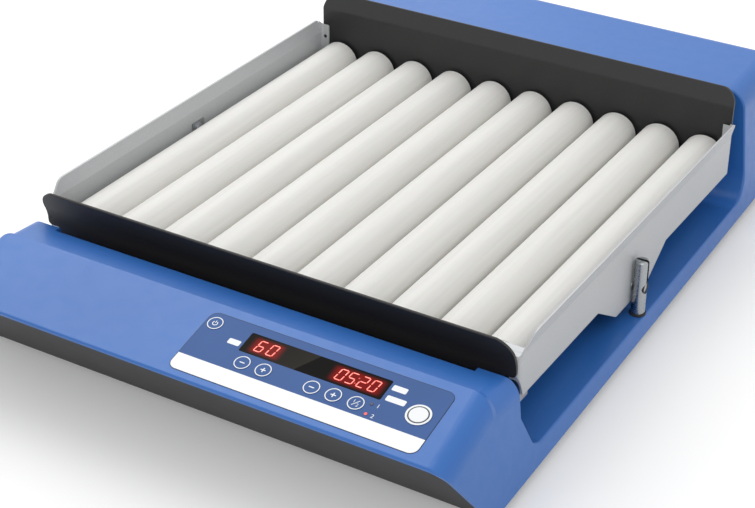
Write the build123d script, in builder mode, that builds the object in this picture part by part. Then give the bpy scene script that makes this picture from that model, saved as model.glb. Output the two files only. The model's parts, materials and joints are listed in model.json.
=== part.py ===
from build123d import *
from math import atan2, cos, degrees, radians, sin, sqrt
import os

os.makedirs("parts", exist_ok=True)

# Ten-roller rocking mixer. Millimetres, +Z up, table top at z = 0.
# +X is the operator's right, the control panel faces -Y.

# Roller bed
ROLLER_COUNT = 10
ROLLER_PITCH = 36.0
ROLLER_R = 16.25
TUBE_WALL = 2.0
ROLLER_Z = 60.0
ROLLER_FRONT_Y = -158.5
ROLLER_REAR_Y = 171.9
PLUG_DEPTH = 10.0
JOURNAL_R = 4.0
RUNNING_GAP = 0.05

# Rocking axis of the tray
PIVOT_Y = -3.5
PIVOT_Z = 42.5
PIVOT_PIN_R = 3.0

# Tray walls
TRAY_HALF = 182.6
SIDE_SHEET = 1.5
SIDE_BOTTOM_Z = 49.6
SIDE_BEND_Z = 81.2
SIDE_TOP_Z = 91.8
SIDE_FLARE = 2.5
SIDE_FRONT_Y = -175.2
SIDE_REAR_Y = 174.5
FLANGE_REACH = 8.0
TAB_BOTTOM_Z = 29.4
TAB_HALF_TOP = 56.8
TAB_HALF_BOTTOM = 25.0
END_SHEET = 2.0
FRONT_HALF = 180.9
FRONT_STEP_HALF = 172.0
FRONT_STEP_Z = 65.5
FRONT_BOTTOM_Z = 45.0
FRONT_TOP_Z = 95.3
REAR_HALF = 180.6
REAR_BOTTOM_Z = 46.0
REAR_BEND_Z = 102.5
REAR_TOP_Z = 115.3
REAR_LEAN = 5.6
BEARING_Y = -162.0
PAN_SHEET = 1.2
PAN_BOTTOM_Z = 39.8

# Belt drive in front of the bearing plate
BELT_PLANES = (-166.25, -170.75)
BELT_WIDTH = 3.0
BELT_GAP = 0.3
BELT_SHEET = 1.2
PULLEY_R = 11.0
PULLEY_FLANGE_R = 13.0
PULLEY_FLANGE = 1.0
GROOVE_WIDTH = 3.5
PULLEY_BACK_Y = -163.5
DRIVE_R = 4.0
DRIVE_FLANGE_R = 5.2
DRIVE_Z = ROLLER_Z - sqrt(ROLLER_PITCH**2 - (ROLLER_PITCH / 2) ** 2)

# Housing
FRONT_Y = -281.5
BACK_Y = 281.5
COVER_BOTTOM_Z = 7.6
LOFT_TOP_Z = 112.0
BOTTOM_HALF_FRONT = 201.8
BOTTOM_HALF_BACK = 190.0
TOP_HALF = 180.2
WALL = 3.0
FLOOR_Z = 21.0
LIP_Z = 64.8
PANEL_TOP_Y = -218.5
PANEL_TOP_Z = 79.5
LAND_FRONT_Y = -213.0
LAND_FRONT_Z = 75.2
LAND_REAR_Y = -187.0
LAND_REAR_Z = 73.2
NOTCH_HALF = 161.0
NOTCH_Y = -192.5
NOTCH_FOOT_Z = 56.0
SCOOP_Y = 196.5
SCOOP_TOP_Z = 106.0
BACK_TOP_Z = 108.5
WELL_HALF = 62.0
WELL_FRONT_Y = -181.0
WELL_REAR_Y = 64.0
WELL_Z = 10.2
WELL_SKIN = 2.2
FOOT_H = 6.2

# Control panel, measured from the top edge of the sloping surface
PANEL_SLOPE = (PANEL_TOP_Z - LIP_Z) / (PANEL_TOP_Y - FRONT_Y)
PANEL_TILT = degrees(atan2(PANEL_TOP_Z - LIP_Z, PANEL_TOP_Y - FRONT_Y))
FOIL_LEFT, FOIL_RIGHT = -6.5, 167.5
FOIL_TOP, FOIL_BOTTOM = 7.0, 59.2
FOIL_T = 0.7
FOIL_RECESS = 0.5
WINDOW_LEFT, WINDOW_RIGHT = 27.0, 127.5
WINDOW_TOP, WINDOW_BOTTOM = 13.4, 30.0
KEY_R = 5.25
POWER_KEY = (0.7, 16.2, 5.2)
START_KEY = (154.1, 31.0, 8.0)
SPEED_MINUS = (35.4, 38.0, KEY_R)
SPEED_PLUS = (50.7, 38.0, KEY_R)
TIME_MINUS = (85.1, 38.0, KEY_R)
TIME_PLUS = (100.3, 38.0, KEY_R)
MODE_KEY = (115.8, 38.0, KEY_R)
KEYS = (POWER_KEY, START_KEY, SPEED_MINUS, SPEED_PLUS, TIME_MINUS, TIME_PLUS, MODE_KEY)
KEY_GAP = 0.15
KEY_PROUD = 0.5
STEM_R = 1.8
SWITCH_TOP = 5.0
BOARD_DROP = 9.0
LEDS = ((124.8, 34.7), (125.4, 42.9))
LED_R = 1.2

# Side view of the housing
WIDE = 260.0
FLANK_FOOT_Y = -240.0
LIP_BACK_Y, LIP_BACK_Z = -280.2, 61.4
EAR_FOOT_Y, EAR_FOOT_Z = -190.5, 50.0
SLANT_FOOT_Y, SLANT_FOOT_Z = -179.5, 25.0
FLOOR_FRONT_Y = -172.0
SCOOP_R = 20.0
FLOOR_END_Y = SCOOP_Y - SCOOP_R
REAR_SHOULDER_R = 16.0
PANEL_SHOULDER_R = 15.0
BACK_EDGE_R = 12.0
SCOOP_EDGE_R = 1.5
LIP_EDGE_R = 1.2
NOTCH_EDGE_R = 1.5
WELL_R = 6.0
WELL_MID_Y = (WELL_FRONT_Y + WELL_REAR_Y) / 2

# Base, feet and screws
BASE_TOP_Z = 8.0
BASE_RIM_Z = 61.2
BASE_SHEET = 2.5
BASE_SET_BACK = 2.0
FIT_GAP = 0.3
FOOT_R = 10.0
FOOT_SPOTS = ((-165, -212), (165, -212), (-160, 255), (160, 255))
BOSS_SPACING = (300.0, 130.0)
BOSS_R = 4.5
BASE_SCREW_R = 1.6
BOSS_HOLE_DEPTH = 9.0
LOCK_X, LOCK_Z = 181.0, 56.5
LOCK_SLOT_W, LOCK_SLOT_H = 10.0, 6.0
LOCK_DEPTH = 1.6
LOCK_HEAD_R = 2.6
LOCK_HEX_R = 1.5
LOCK_SHANK_R = 1.5

# Power inlet
INLET_X, INLET_Z = -120.0, 40.0
INLET_COLLAR_R = 6.8
INLET_BODY_R = 8.5
INLET_DEPTH = 15.0
INLET_RECESS_R = 5.8
INLET_RECESS = 8.0
INLET_JACK_R = 2.8
INLET_TIP_R = 1.0
INLET_JACK_DEPTH = 9.0

# Posts and pivot
POST_X = 188.1
POST_R = 5.0
POST_TOP_Z = 63.7
POST_DOME_R = 1.6
POST_STUD_R = 3.0
POST_STUD_LENGTH = 8.0
POST_SLOT = 2.4
PIVOT_BUSH_R = 4.0
SEAL_W = 0.8
SEAL_H = 1.6
PIN_HEAD_R = 4.2
PIN_HEAD_T = 2.5
PIN_LENGTH = 11.0

# Front and rear plates
FRONT_PLATE_Y = SIDE_FRONT_Y - END_SHEET
FRONT_LIP_BEND_Z = 74.0
FRONT_LEAN = 8.8
FRONT_CORNER_R = 15.0
REAR_CORNER_R = 13.0
REAR_PLATE_Y = SIDE_REAR_Y
RIVET_X = 177.8
RIVET_R = 1.5
FRONT_RIVETS = (67.6, 71.8)
REAR_RIVETS = (54.0, 77.8)

# Side plates
SIDE_BEND_R = 4.0
LIP_FRONT_Y = SIDE_FRONT_Y + SIDE_BEND_R
LIP_REAR_Y = SIDE_REAR_Y - SIDE_BEND_R
LIP_CORNER_R = 10.0
SIDE_SET_BACK = 5.5
SIDE_STRAIGHT_Z = 66.0
FRONT_CORNER_Z = 77.0
FRONT_CORNER_RUN = 16.0
REAR_CORNER_Z = 87.0
REAR_CORNER_RUN = 5.0
LUG_NUT_Z = 67.0
STUD_R = 1.5

# Bearing plate, pan and bushes
BEARING_HALF = TRAY_HALF - SIDE_SHEET
BEARING_BOTTOM_Z = 44.5
BEARING_TOP_Z = 77.0
BEARING_LIP_Y = SIDE_FRONT_Y + SIDE_BEND_R + 0.1
BEARING_HOOD_Y = SIDE_FRONT_Y + 0.3
BELT_BAY_HALF = 33.0
DRIVE_TAB_R = 6.5
PAN_HALF = TRAY_HALF - SIDE_SHEET
PAN_TOP_Z = 60.0
PAN_FRONT_Y = BEARING_Y + END_SHEET + 0.2
PAN_REAR_Y = SIDE_REAR_Y - SIDE_BEND_R - 0.1
LUG_W = 14.0
LUG_TOP_Z = 72.0
BUSH_R = 6.0
BUSH_FLANGE_R = 7.5
BUSH_FLANGE_T = 0.8
JOURNAL_END_Y = -173.2
REAR_JOURNAL = 6.6
PULLEY_END_FLANGE = 0.7

# Gear motor, crank and yoke
SHAFT_R = 2.5
SHAFT_SOCKET = 8.0
MOTOR_R = 9.0
MOTOR_FRONT_Y = -62.0
GEARBOX_FRONT_Y = 15.0
GEARBOX_LENGTH = 23.0
GEARBOX_MID_Y = GEARBOX_FRONT_Y + GEARBOX_LENGTH / 2
GEARBOX_HALF = 12.0
GEARBOX_BOTTOM_Z = 17.5
MOTOR_SCREWS = (16.0, 16.0)
MOTOR_SCREW_R = 1.4
MOTOR_SCREW_DEPTH = 6.0
CRANK_Y, CRANK_Z = 26.5, 25.0
CRANK_THROW = 2.09
CRANK_DISC_R = 7.0
CRANK_DISC_T = 3.0
CRANK_PIN_R = 1.9
CRANK_PIN_LENGTH = 5.6
CRANK_BEARING_R = 4.0
YOKE_X = GEARBOX_HALF + 1 + CRANK_DISC_T + 0.6
YOKE_T = 4.4
YOKE_FRONT_Y, YOKE_REAR_Y = 16.0, 44.0
YOKE_HALF_SLOT = 8.5
YOKE_JAW = 2.2
YOKE_WEB = 4.0
YOKE_FOOT_W = 14.0

# Derived places on the panel
FOIL_MID_X = (FOIL_LEFT + FOIL_RIGHT) / 2
FOIL_MID_DOWN = (FOIL_TOP + FOIL_BOTTOM) / 2
FOIL_R = 6.0
WINDOW_W = WINDOW_RIGHT - WINDOW_LEFT
WINDOW_H = WINDOW_BOTTOM - WINDOW_TOP
WINDOW_MID_X = (WINDOW_LEFT + WINDOW_RIGHT) / 2
WINDOW_MID_DOWN = (WINDOW_TOP + WINDOW_BOTTOM) / 2
WINDOW_R = 1.2
WINDOW_REST = 2.0
DISPLAYS = ((44.0, 24.0), (107.0, 36.0))
DISPLAY_H = 12.0
BOARD_TOP, BOARD_BOTTOM = 9.0, 50.0
BOARD_T = 1.6
SWITCH_W = 6.0
SWITCH_H = 3.0
SWITCH_BUTTON_H = 0.4
CAP_DEPTH = 1.2
STEM_END = BOARD_DROP - SWITCH_H - SWITCH_BUTTON_H - 0.5

PANEL = Plane(
    origin=(0, PANEL_TOP_Y, PANEL_TOP_Z),
    x_dir=(1, 0, 0),
    z_dir=(0, -sin(radians(PANEL_TILT)), cos(radians(PANEL_TILT))),
)
ROLLER_X = [(n - (ROLLER_COUNT - 1) / 2) * ROLLER_PITCH for n in range(ROLLER_COUNT)]


def on_panel(x, down):
    """Sketch position on the panel for a distance down the slope."""
    return (x, -down)


def flank_half(y, z):
    """Outer half-width of the housing at one place on its flank."""
    along = (y - FRONT_Y) / (BACK_Y - FRONT_Y)
    bottom = BOTTOM_HALF_FRONT + (BOTTOM_HALF_BACK - BOTTOM_HALF_FRONT) * along
    up = (z - COVER_BOTTOM_Z) / (LOFT_TOP_Z - COVER_BOTTOM_Z)
    return bottom + (TOP_HALF - bottom) * up


def footprint(z, inset):
    """Corner points of the housing's plan at a height."""
    front = flank_half(FRONT_Y, z) - inset
    back = flank_half(BACK_Y, z) - inset
    low, high = FRONT_Y - 20, BACK_Y + 20
    step = (front - back) / (BACK_Y - FRONT_Y) * 20
    return [
        (-front - step, low),
        (front + step, low),
        (back - step, high),
        (-back + step, high),
    ]


def undercut_y(z, set_back):
    """Y of the undercut front at a height, some way behind the flank's front edge."""
    run = LIP_BACK_Y - FLANK_FOOT_Y
    rise = LIP_BACK_Z - COVER_BOTTOM_Z
    slope = sqrt(run**2 + rise**2)
    return FLANK_FOOT_Y + run * (z - COVER_BOTTOM_Z) / rise + set_back * slope / rise


BASE_RIM_HALF = flank_half(FRONT_Y, BASE_RIM_Z) - WALL - FIT_GAP
BASE_CORNER_R = PANEL_SHOULDER_R - WALL + 1
LOCK_PLANE = Plane(
    origin=(LOCK_X, undercut_y(LOCK_Z, BASE_SET_BACK), LOCK_Z),
    x_dir=(1, 0, 0),
    z_dir=(0, -(LIP_BACK_Z - COVER_BOTTOM_Z), -(FLANK_FOOT_Y - LIP_BACK_Y)),
)


# Outside of the notch between the two ears of the front box
notch_points = [
    (NOTCH_Y, SCOOP_TOP_Z),
    (NOTCH_Y, NOTCH_FOOT_Z),
    (EAR_FOOT_Y, EAR_FOOT_Z),
    (SLANT_FOOT_Y, SLANT_FOOT_Z),
    (BEARING_Y, ROLLER_Z),
    (BEARING_Y, SCOOP_TOP_Z),
]
notch_backing = [
    (NOTCH_Y - WALL, SCOOP_TOP_Z),
    (NOTCH_Y - WALL, NOTCH_FOOT_Z - 0.8),
    (EAR_FOOT_Y - WALL - 0.1, EAR_FOOT_Z - 1),
    (SLANT_FOOT_Y - WALL - 0.1, SLANT_FOOT_Z - 1),
    (BEARING_Y, ROLLER_Z),
    (BEARING_Y, SCOOP_TOP_Z),
]

# Hollow inside the cover
with BuildPart() as cover_hollow:
    with BuildSketch(Plane.XY.offset(COVER_BOTTOM_Z - 20)):
        with BuildLine():
            Polyline(*footprint(COVER_BOTTOM_Z - 20, WALL), close=True)
        make_face()
    with BuildSketch(Plane.XY.offset(LOFT_TOP_Z)):
        with BuildLine():
            Polyline(*footprint(LOFT_TOP_Z, WALL), close=True)
        make_face()
    loft(ruled=True)
    with BuildSketch(Plane.YZ):
        with BuildLine():
            FilletPolyline(
                (FRONT_Y - 20, COVER_BOTTOM_Z - 20),
                (FRONT_Y - 20, LIP_Z - 20 * PANEL_SLOPE - WALL),
                (PANEL_TOP_Y - 1.2, PANEL_TOP_Z - WALL - 0.4),
                (LAND_FRONT_Y - 1.4, LAND_FRONT_Z - WALL),
                (LAND_REAR_Y - WALL - 0.6, LAND_REAR_Z - WALL),
                (EAR_FOOT_Y - WALL, EAR_FOOT_Z + 0.6),
                (SLANT_FOOT_Y - WALL, SLANT_FOOT_Z - 0.6),
                (FLOOR_FRONT_Y - 1.2, FLOOR_Z - WALL),
                (SCOOP_Y + WALL, FLOOR_Z - WALL),
                (SCOOP_Y + WALL, SCOOP_TOP_Z - WALL),
                (BACK_Y - WALL, BACK_TOP_Z - WALL - 0.1),
                (BACK_Y - WALL, COVER_BOTTOM_Z - 20),
                radius=[0, 0, 0, 0, 0, 0, 0, 0, SCOOP_R - WALL, 0, 0, 0],
                close=True,
            )
        make_face()
    extrude(amount=WIDE, both=True, mode=Mode.INTERSECT)
    inner_edges = cover_hollow.edges().filter_by(lambda e: abs((e @ 0.5).X) > NOTCH_HALF)
    fillet(
        inner_edges.filter_by(lambda e: (e @ 0.5).Y > SCOOP_Y + 5 and (e @ 0.5).Z > BACK_TOP_Z - 9),
        radius=REAR_SHOULDER_R - WALL,
    )
    inner_edges = cover_hollow.edges().filter_by(lambda e: abs((e @ 0.5).X) > NOTCH_HALF)
    fillet(
        inner_edges.filter_by(
            lambda e: LIP_BACK_Y < (e @ 0.5).Y < LAND_REAR_Y - WALL and (e @ 0.5).Z > LIP_Z
        ),
        radius=PANEL_SHOULDER_R - WALL,
    )
    inner_back = cover_hollow.edges().filter_by(lambda e: (e @ 0.5).Y > BACK_Y - WALL - 1)
    fillet(inner_back.filter_by(lambda e: (e @ 0.5).Z > COVER_BOTTOM_Z), radius=BACK_EDGE_R - WALL)
    with BuildSketch(Plane.YZ):
        with BuildLine():
            Polyline(*notch_backing, close=True)
        make_face()
    extrude(amount=NOTCH_HALF + WALL, both=True, mode=Mode.SUBTRACT)
    with BuildSketch(Plane.XY.offset(WELL_Z - WELL_SKIN)):
        with Locations((0, (WELL_FRONT_Y + WELL_REAR_Y) / 2)):
            Rectangle(
                2 * (WELL_HALF + WALL),
                WELL_REAR_Y - WELL_FRONT_Y + 2 * WALL,
            )
    extrude(amount=22, mode=Mode.SUBTRACT)
    with BuildSketch(Plane.XY.offset(BASE_TOP_Z)):
        with GridLocations(*BOSS_SPACING, 2, 3):
            Circle(BOSS_R)
    extrude(amount=20, mode=Mode.SUBTRACT)

# Blue cover: front box, open bay for the tray, rear box
with BuildPart() as housing_cover:
    with BuildSketch(Plane.XY.offset(COVER_BOTTOM_Z)):
        with BuildLine():
            Polyline(*footprint(COVER_BOTTOM_Z, 0), close=True)
        make_face()
    with BuildSketch(Plane.XY.offset(LOFT_TOP_Z)):
        with BuildLine():
            Polyline(*footprint(LOFT_TOP_Z, 0), close=True)
        make_face()
    loft(ruled=True)
    with BuildSketch(Plane.YZ):
        with BuildLine():
            FilletPolyline(
                (FLANK_FOOT_Y, COVER_BOTTOM_Z - 20),
                (FLANK_FOOT_Y, COVER_BOTTOM_Z),
                (LIP_BACK_Y, LIP_BACK_Z),
                (FRONT_Y, LIP_Z),
                (PANEL_TOP_Y, PANEL_TOP_Z),
                (LAND_FRONT_Y, LAND_FRONT_Z),
                (LAND_REAR_Y, LAND_REAR_Z),
                (EAR_FOOT_Y, EAR_FOOT_Z),
                (SLANT_FOOT_Y, SLANT_FOOT_Z),
                (FLOOR_FRONT_Y, FLOOR_Z),
                (SCOOP_Y, FLOOR_Z),
                (SCOOP_Y, SCOOP_TOP_Z),
                (BACK_Y, BACK_TOP_Z),
                (BACK_Y, COVER_BOTTOM_Z - 20),
                radius=[0, 0, 0, 0, 0, 0, 0, 0, 6, 8, SCOOP_R, 0, 0, 0],
                close=True,
            )
        make_face()
    extrude(amount=WIDE, both=True, mode=Mode.INTERSECT)

    # Soft shoulders along the flanks, then the crosswise edges
    shoulders = housing_cover.edges().filter_by(lambda e: abs((e @ 0.5).X) > NOTCH_HALF)
    fillet(
        shoulders.filter_by(lambda e: (e @ 0.5).Y > SCOOP_Y and (e @ 0.5).Z > SCOOP_TOP_Z),
        radius=REAR_SHOULDER_R,
    )
    shoulders = housing_cover.edges().filter_by(lambda e: abs((e @ 0.5).X) > NOTCH_HALF)
    fillet(
        shoulders.filter_by(lambda e: (e @ 0.5).Y < LAND_REAR_Y and (e @ 0.5).Z > LIP_Z),
        radius=PANEL_SHOULDER_R,
    )
    on_back = housing_cover.edges().filter_by(lambda e: (e @ 0.5).Y > BACK_Y - 1)
    fillet(on_back.filter_by(lambda e: (e @ 0.5).Z > FLOOR_Z), radius=BACK_EDGE_R)
    beside_scoop = housing_cover.edges().filter_by(
        lambda e: FLOOR_END_Y - 1 < (e @ 0.5).Y < SCOOP_Y + 0.5 and (e @ 0.5).Z > FLOOR_Z - 1
    )
    fillet(
        beside_scoop.filter_by(lambda e: abs((e @ 0.5).X) > 1 or (e @ 0.5).Z > BACK_TOP_Z - 5),
        radius=SCOOP_EDGE_R,
    )
    with BuildSketch(Plane.YZ):
        with BuildLine():
            land_arc = ThreePointArc(
                (LAND_REAR_Y - 3.2, LAND_REAR_Z + 0.7),
                (LAND_REAR_Y - 0.9, LAND_REAR_Z - 0.65),
                (LAND_REAR_Y - 0.35, LAND_REAR_Z - 3.3),
            )
            Polyline(
                land_arc @ 1,
                (LAND_REAR_Y + 5, LAND_REAR_Z - 3.3),
                (LAND_REAR_Y + 5, LAND_REAR_Z + 5),
                (LAND_REAR_Y - 3.2, LAND_REAR_Z + 5),
                land_arc @ 0,
            )
        make_face()
    extrude(amount=WIDE, both=True, mode=Mode.SUBTRACT)
    lip_edge = housing_cover.edges().filter_by(lambda e: abs((e @ 0.5).Z - LIP_Z) < 0.5)
    fillet(lip_edge.filter_by(lambda e: abs((e @ 0.5).X) < 1), radius=LIP_EDGE_R)

    # Notch in the land, the hollow inside and the well for the gear motor
    with BuildSketch(Plane.YZ):
        with BuildLine():
            Polyline(*notch_points, close=True)
        make_face()
    extrude(amount=NOTCH_HALF, both=True, mode=Mode.SUBTRACT)
    notch_edge = housing_cover.edges().filter_by(lambda e: abs((e @ 0.5).Y - NOTCH_Y) < 0.5)
    fillet(
        notch_edge.filter_by(lambda e: abs((e @ 0.5).X) < 1 and (e @ 0.5).Z > NOTCH_FOOT_Z + 1),
        radius=NOTCH_EDGE_R,
    )
    add(cover_hollow.part, mode=Mode.SUBTRACT)
    with BuildSketch(Plane.XY.offset(WELL_Z)):
        with Locations((0, WELL_MID_Y)):
            Rectangle(2 * WELL_HALF, WELL_REAR_Y - WELL_FRONT_Y)
        fillet(vertices(), radius=WELL_R)
    extrude(amount=ROLLER_Z - WELL_Z, mode=Mode.SUBTRACT)

    # Screw bosses, post seats, inlet hole and the openings under the control foil
    with BuildSketch(Plane.XY.offset(BASE_TOP_Z)):
        with GridLocations(*BOSS_SPACING, 2, 3):
            Circle(BASE_SCREW_R)
    extrude(amount=BOSS_HOLE_DEPTH, mode=Mode.SUBTRACT)
    with BuildSketch(Plane.XY.offset(FLOOR_Z + 1)):
        with Locations((POST_X, PIVOT_Y), (-POST_X, PIVOT_Y)):
            Circle(POST_STUD_R)
    extrude(amount=-WALL - 2, mode=Mode.SUBTRACT)
    with BuildSketch(Plane.XZ.offset(-BACK_Y - 1)):
        with Locations((INLET_X, INLET_Z)):
            Circle(INLET_COLLAR_R)
    extrude(amount=WALL + 2, mode=Mode.SUBTRACT)
    with BuildSketch(PANEL):
        with Locations(on_panel(FOIL_MID_X, FOIL_MID_DOWN)):
            RectangleRounded(FOIL_RIGHT - FOIL_LEFT, FOIL_BOTTOM - FOIL_TOP, FOIL_R)
    extrude(amount=-FOIL_RECESS, mode=Mode.SUBTRACT)
    with BuildSketch(PANEL):
        for key_x, key_down, key_r in KEYS:
            with Locations(on_panel(key_x, key_down)):
                Circle(key_r + 2 * KEY_GAP)
        for led_x, led_down in LEDS:
            with Locations(on_panel(led_x, led_down)):
                Circle(LED_R + KEY_GAP)
        with Locations(on_panel(WINDOW_MID_X, WINDOW_MID_DOWN)):
            Rectangle(WINDOW_W - 2 * WINDOW_REST, WINDOW_H - 2 * WINDOW_REST)
    extrude(amount=-2 * WALL, mode=Mode.SUBTRACT)

housing_cover.part.label = "housing_cover"
export_step(housing_cover.part, "parts/housing_cover.step")

# Base pan: bottom plate and the undercut front face below the lip
with BuildPart() as base_pan:
    with BuildSketch(Plane.XY):
        with BuildLine():
            Polyline(*footprint(0, WALL + FIT_GAP), close=True)
        make_face()
    with BuildSketch(Plane.XY.offset(PANEL_TOP_Z)):
        with BuildLine():
            Polyline(*footprint(PANEL_TOP_Z, WALL + FIT_GAP), close=True)
        make_face()
    loft(ruled=True)
    with BuildSketch(Plane.YZ):
        with BuildLine():
            Polyline(
                (undercut_y(BASE_RIM_Z, BASE_SET_BACK), BASE_RIM_Z),
                (undercut_y(FOOT_H, BASE_SET_BACK), FOOT_H),
                (BACK_Y - WALL - FIT_GAP, FOOT_H),
                (BACK_Y - WALL - FIT_GAP, BASE_TOP_Z),
                (undercut_y(BASE_TOP_Z, BASE_SET_BACK + BASE_SHEET), BASE_TOP_Z),
                (undercut_y(BASE_RIM_Z, BASE_SET_BACK + BASE_SHEET), BASE_RIM_Z),
                close=True,
            )
        make_face()
    extrude(amount=WIDE, both=True, mode=Mode.INTERSECT)
    with BuildSketch(Plane.XY):
        with BuildLine():
            FilletPolyline(
                (-BOTTOM_HALF_FRONT, FRONT_Y),
                (BOTTOM_HALF_FRONT, FRONT_Y),
                (BOTTOM_HALF_BACK - WALL - FIT_GAP, BACK_Y - WALL - FIT_GAP),
                (-BOTTOM_HALF_BACK + WALL + FIT_GAP, BACK_Y - WALL - FIT_GAP),
                radius=[0, 0, BACK_EDGE_R, BACK_EDGE_R],
                close=True,
            )
        make_face()
    extrude(amount=LOFT_TOP_Z, mode=Mode.INTERSECT)
    with BuildSketch(Plane.XZ):
        with BuildLine():
            FilletPolyline(
                (-flank_half(FRONT_Y, 0), 0),
                (-BASE_RIM_HALF, BASE_RIM_Z),
                (BASE_RIM_HALF, BASE_RIM_Z),
                (flank_half(FRONT_Y, 0), 0),
                radius=[0, BASE_CORNER_R, BASE_CORNER_R, 0],
                close=True,
            )
        make_face()
    extrude(amount=2 * WIDE, both=True, mode=Mode.INTERSECT)
    with BuildSketch(Plane.XY.offset(FOOT_H)):
        with GridLocations(*BOSS_SPACING, 2, 3):
            Circle(BASE_SCREW_R + KEY_GAP)
    extrude(amount=BASE_TOP_Z - FOOT_H, mode=Mode.SUBTRACT)
    with BuildSketch(LOCK_PLANE):
        SlotOverall(LOCK_SLOT_W, LOCK_SLOT_H)
    extrude(amount=-LOCK_DEPTH, mode=Mode.SUBTRACT)
    with BuildSketch(LOCK_PLANE):
        Circle(LOCK_SHANK_R)
    extrude(amount=-2 * BASE_SHEET, mode=Mode.SUBTRACT)

base_pan.part.label = "base_pan"
export_step(base_pan.part, "parts/base_pan.step")

with BuildPart() as front_lock:
    with BuildSketch(LOCK_PLANE.offset(-LOCK_DEPTH)):
        Circle(LOCK_HEAD_R)
    extrude(amount=LOCK_DEPTH - 0.2)
    with BuildSketch(LOCK_PLANE.offset(-0.2)):
        RegularPolygon(LOCK_HEX_R, 6)
    extrude(amount=-1.0, mode=Mode.SUBTRACT)
    with BuildSketch(LOCK_PLANE.offset(-LOCK_DEPTH)):
        Circle(LOCK_SHANK_R)
    extrude(amount=-4.0)

front_lock.part.label = "front_lock"
export_step(front_lock.part, "parts/front_lock.step")

with BuildPart() as rubber_feet:
    with BuildSketch(Plane.XY):
        with Locations(*FOOT_SPOTS):
            Circle(FOOT_R)
    extrude(amount=FOOT_H)
    chamfer(rubber_feet.edges().group_by(Axis.Z)[0], length=1.0)

rubber_feet.part.label = "rubber_feet"
export_step(rubber_feet.part, "parts/rubber_feet.step")

with BuildPart() as base_screws:
    with BuildSketch(Plane.XY.offset(FOOT_H)):
        with GridLocations(*BOSS_SPACING, 2, 3):
            Circle(3.4)
    extrude(amount=-1.8)
    with BuildSketch(Plane.XY.offset(FOOT_H - 1.8)):
        with GridLocations(*BOSS_SPACING, 2, 3):
            RegularPolygon(1.7, 6)
    extrude(amount=1.0, mode=Mode.SUBTRACT)
    with BuildSketch(Plane.XY.offset(FOOT_H)):
        with GridLocations(*BOSS_SPACING, 2, 3):
            Circle(BASE_SCREW_R)
    extrude(amount=8.0)

base_screws.part.label = "base_screws"
export_step(base_screws.part, "parts/base_screws.step")

# Control foil, display and keys
with BuildPart() as control_foil:
    with BuildSketch(PANEL.offset(-FOIL_RECESS)):
        with Locations(on_panel(FOIL_MID_X, FOIL_MID_DOWN)):
            RectangleRounded(
                FOIL_RIGHT - FOIL_LEFT - KEY_GAP,
                FOIL_BOTTOM - FOIL_TOP - KEY_GAP,
                FOIL_R,
            )
        for key_x, key_down, key_r in KEYS:
            with Locations(on_panel(key_x, key_down)):
                Circle(key_r + KEY_GAP, mode=Mode.SUBTRACT)
        for led_x, led_down in LEDS:
            with Locations(on_panel(led_x, led_down)):
                Circle(LED_R, mode=Mode.SUBTRACT)
        with Locations(on_panel(WINDOW_MID_X, WINDOW_MID_DOWN)):
            RectangleRounded(WINDOW_W, WINDOW_H, WINDOW_R, mode=Mode.SUBTRACT)
    extrude(amount=FOIL_T)

control_foil.part.label = "control_foil"
export_step(control_foil.part, "parts/control_foil.step")

with BuildPart() as display_window:
    with BuildSketch(PANEL.offset(-FOIL_RECESS)):
        with Locations(on_panel(WINDOW_MID_X, WINDOW_MID_DOWN)):
            RectangleRounded(WINDOW_W, WINDOW_H, WINDOW_R)
    extrude(amount=FOIL_T)

display_window.part.label = "display_window"
export_step(display_window.part, "parts/display_window.step")

with BuildPart() as display_modules:
    with BuildSketch(PANEL.offset(-BOARD_DROP)):
        for module_x, module_w in DISPLAYS:
            with Locations(on_panel(module_x, WINDOW_MID_DOWN)):
                Rectangle(module_w, DISPLAY_H)
    extrude(amount=BOARD_DROP - FOIL_RECESS - 0.3)

display_modules.part.label = "display_modules"
export_step(display_modules.part, "parts/display_modules.step")

with BuildPart() as status_leds:
    with BuildSketch(PANEL.offset(-BOARD_DROP)):
        for led_x, led_down in LEDS:
            with Locations(on_panel(led_x, led_down)):
                Circle(LED_R)
    extrude(amount=BOARD_DROP + 0.4)
    fillet(status_leds.edges().group_by(Axis.Z)[-1], radius=0.3)

status_leds.part.label = "status_leds"
export_step(status_leds.part, "parts/status_leds.step")

with BuildPart() as control_board:
    with BuildSketch(PANEL.offset(-BOARD_DROP)):
        with Locations(on_panel(FOIL_MID_X, (BOARD_TOP + BOARD_BOTTOM) / 2)):
            Rectangle(FOIL_RIGHT - FOIL_LEFT - 6, BOARD_BOTTOM - BOARD_TOP)
    extrude(amount=-BOARD_T)
    with BuildSketch(PANEL.offset(-BOARD_DROP)):
        for key_x, key_down, key_r in KEYS:
            with Locations(on_panel(key_x, key_down)):
                Rectangle(SWITCH_W, SWITCH_W)
    extrude(amount=SWITCH_H)
    with BuildSketch(PANEL.offset(-BOARD_DROP + SWITCH_H)):
        for key_x, key_down, key_r in KEYS:
            with Locations(on_panel(key_x, key_down)):
                Circle(STEM_R)
    extrude(amount=SWITCH_BUTTON_H)

control_board.part.label = "control_board"
export_step(control_board.part, "parts/control_board.step")


def key_cap(spot):
    """Round key with a stem that reaches the switch on the board."""
    key_x, key_down, key_r = spot
    with BuildPart() as cap:
        with BuildSketch(PANEL.offset(-CAP_DEPTH)):
            with Locations(on_panel(key_x, key_down)):
                Circle(key_r)
        extrude(amount=CAP_DEPTH + KEY_PROUD)
        fillet(cap.edges().group_by(Axis.Z)[-1], radius=0.25)
        with BuildSketch(PANEL.offset(-CAP_DEPTH)):
            with Locations(on_panel(key_x, key_down)):
                Circle(STEM_R)
        extrude(amount=CAP_DEPTH - STEM_END)
    return cap


key_power = key_cap(POWER_KEY)
key_power.part.label = "key_power"
export_step(key_power.part, "parts/key_power.step")

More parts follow.
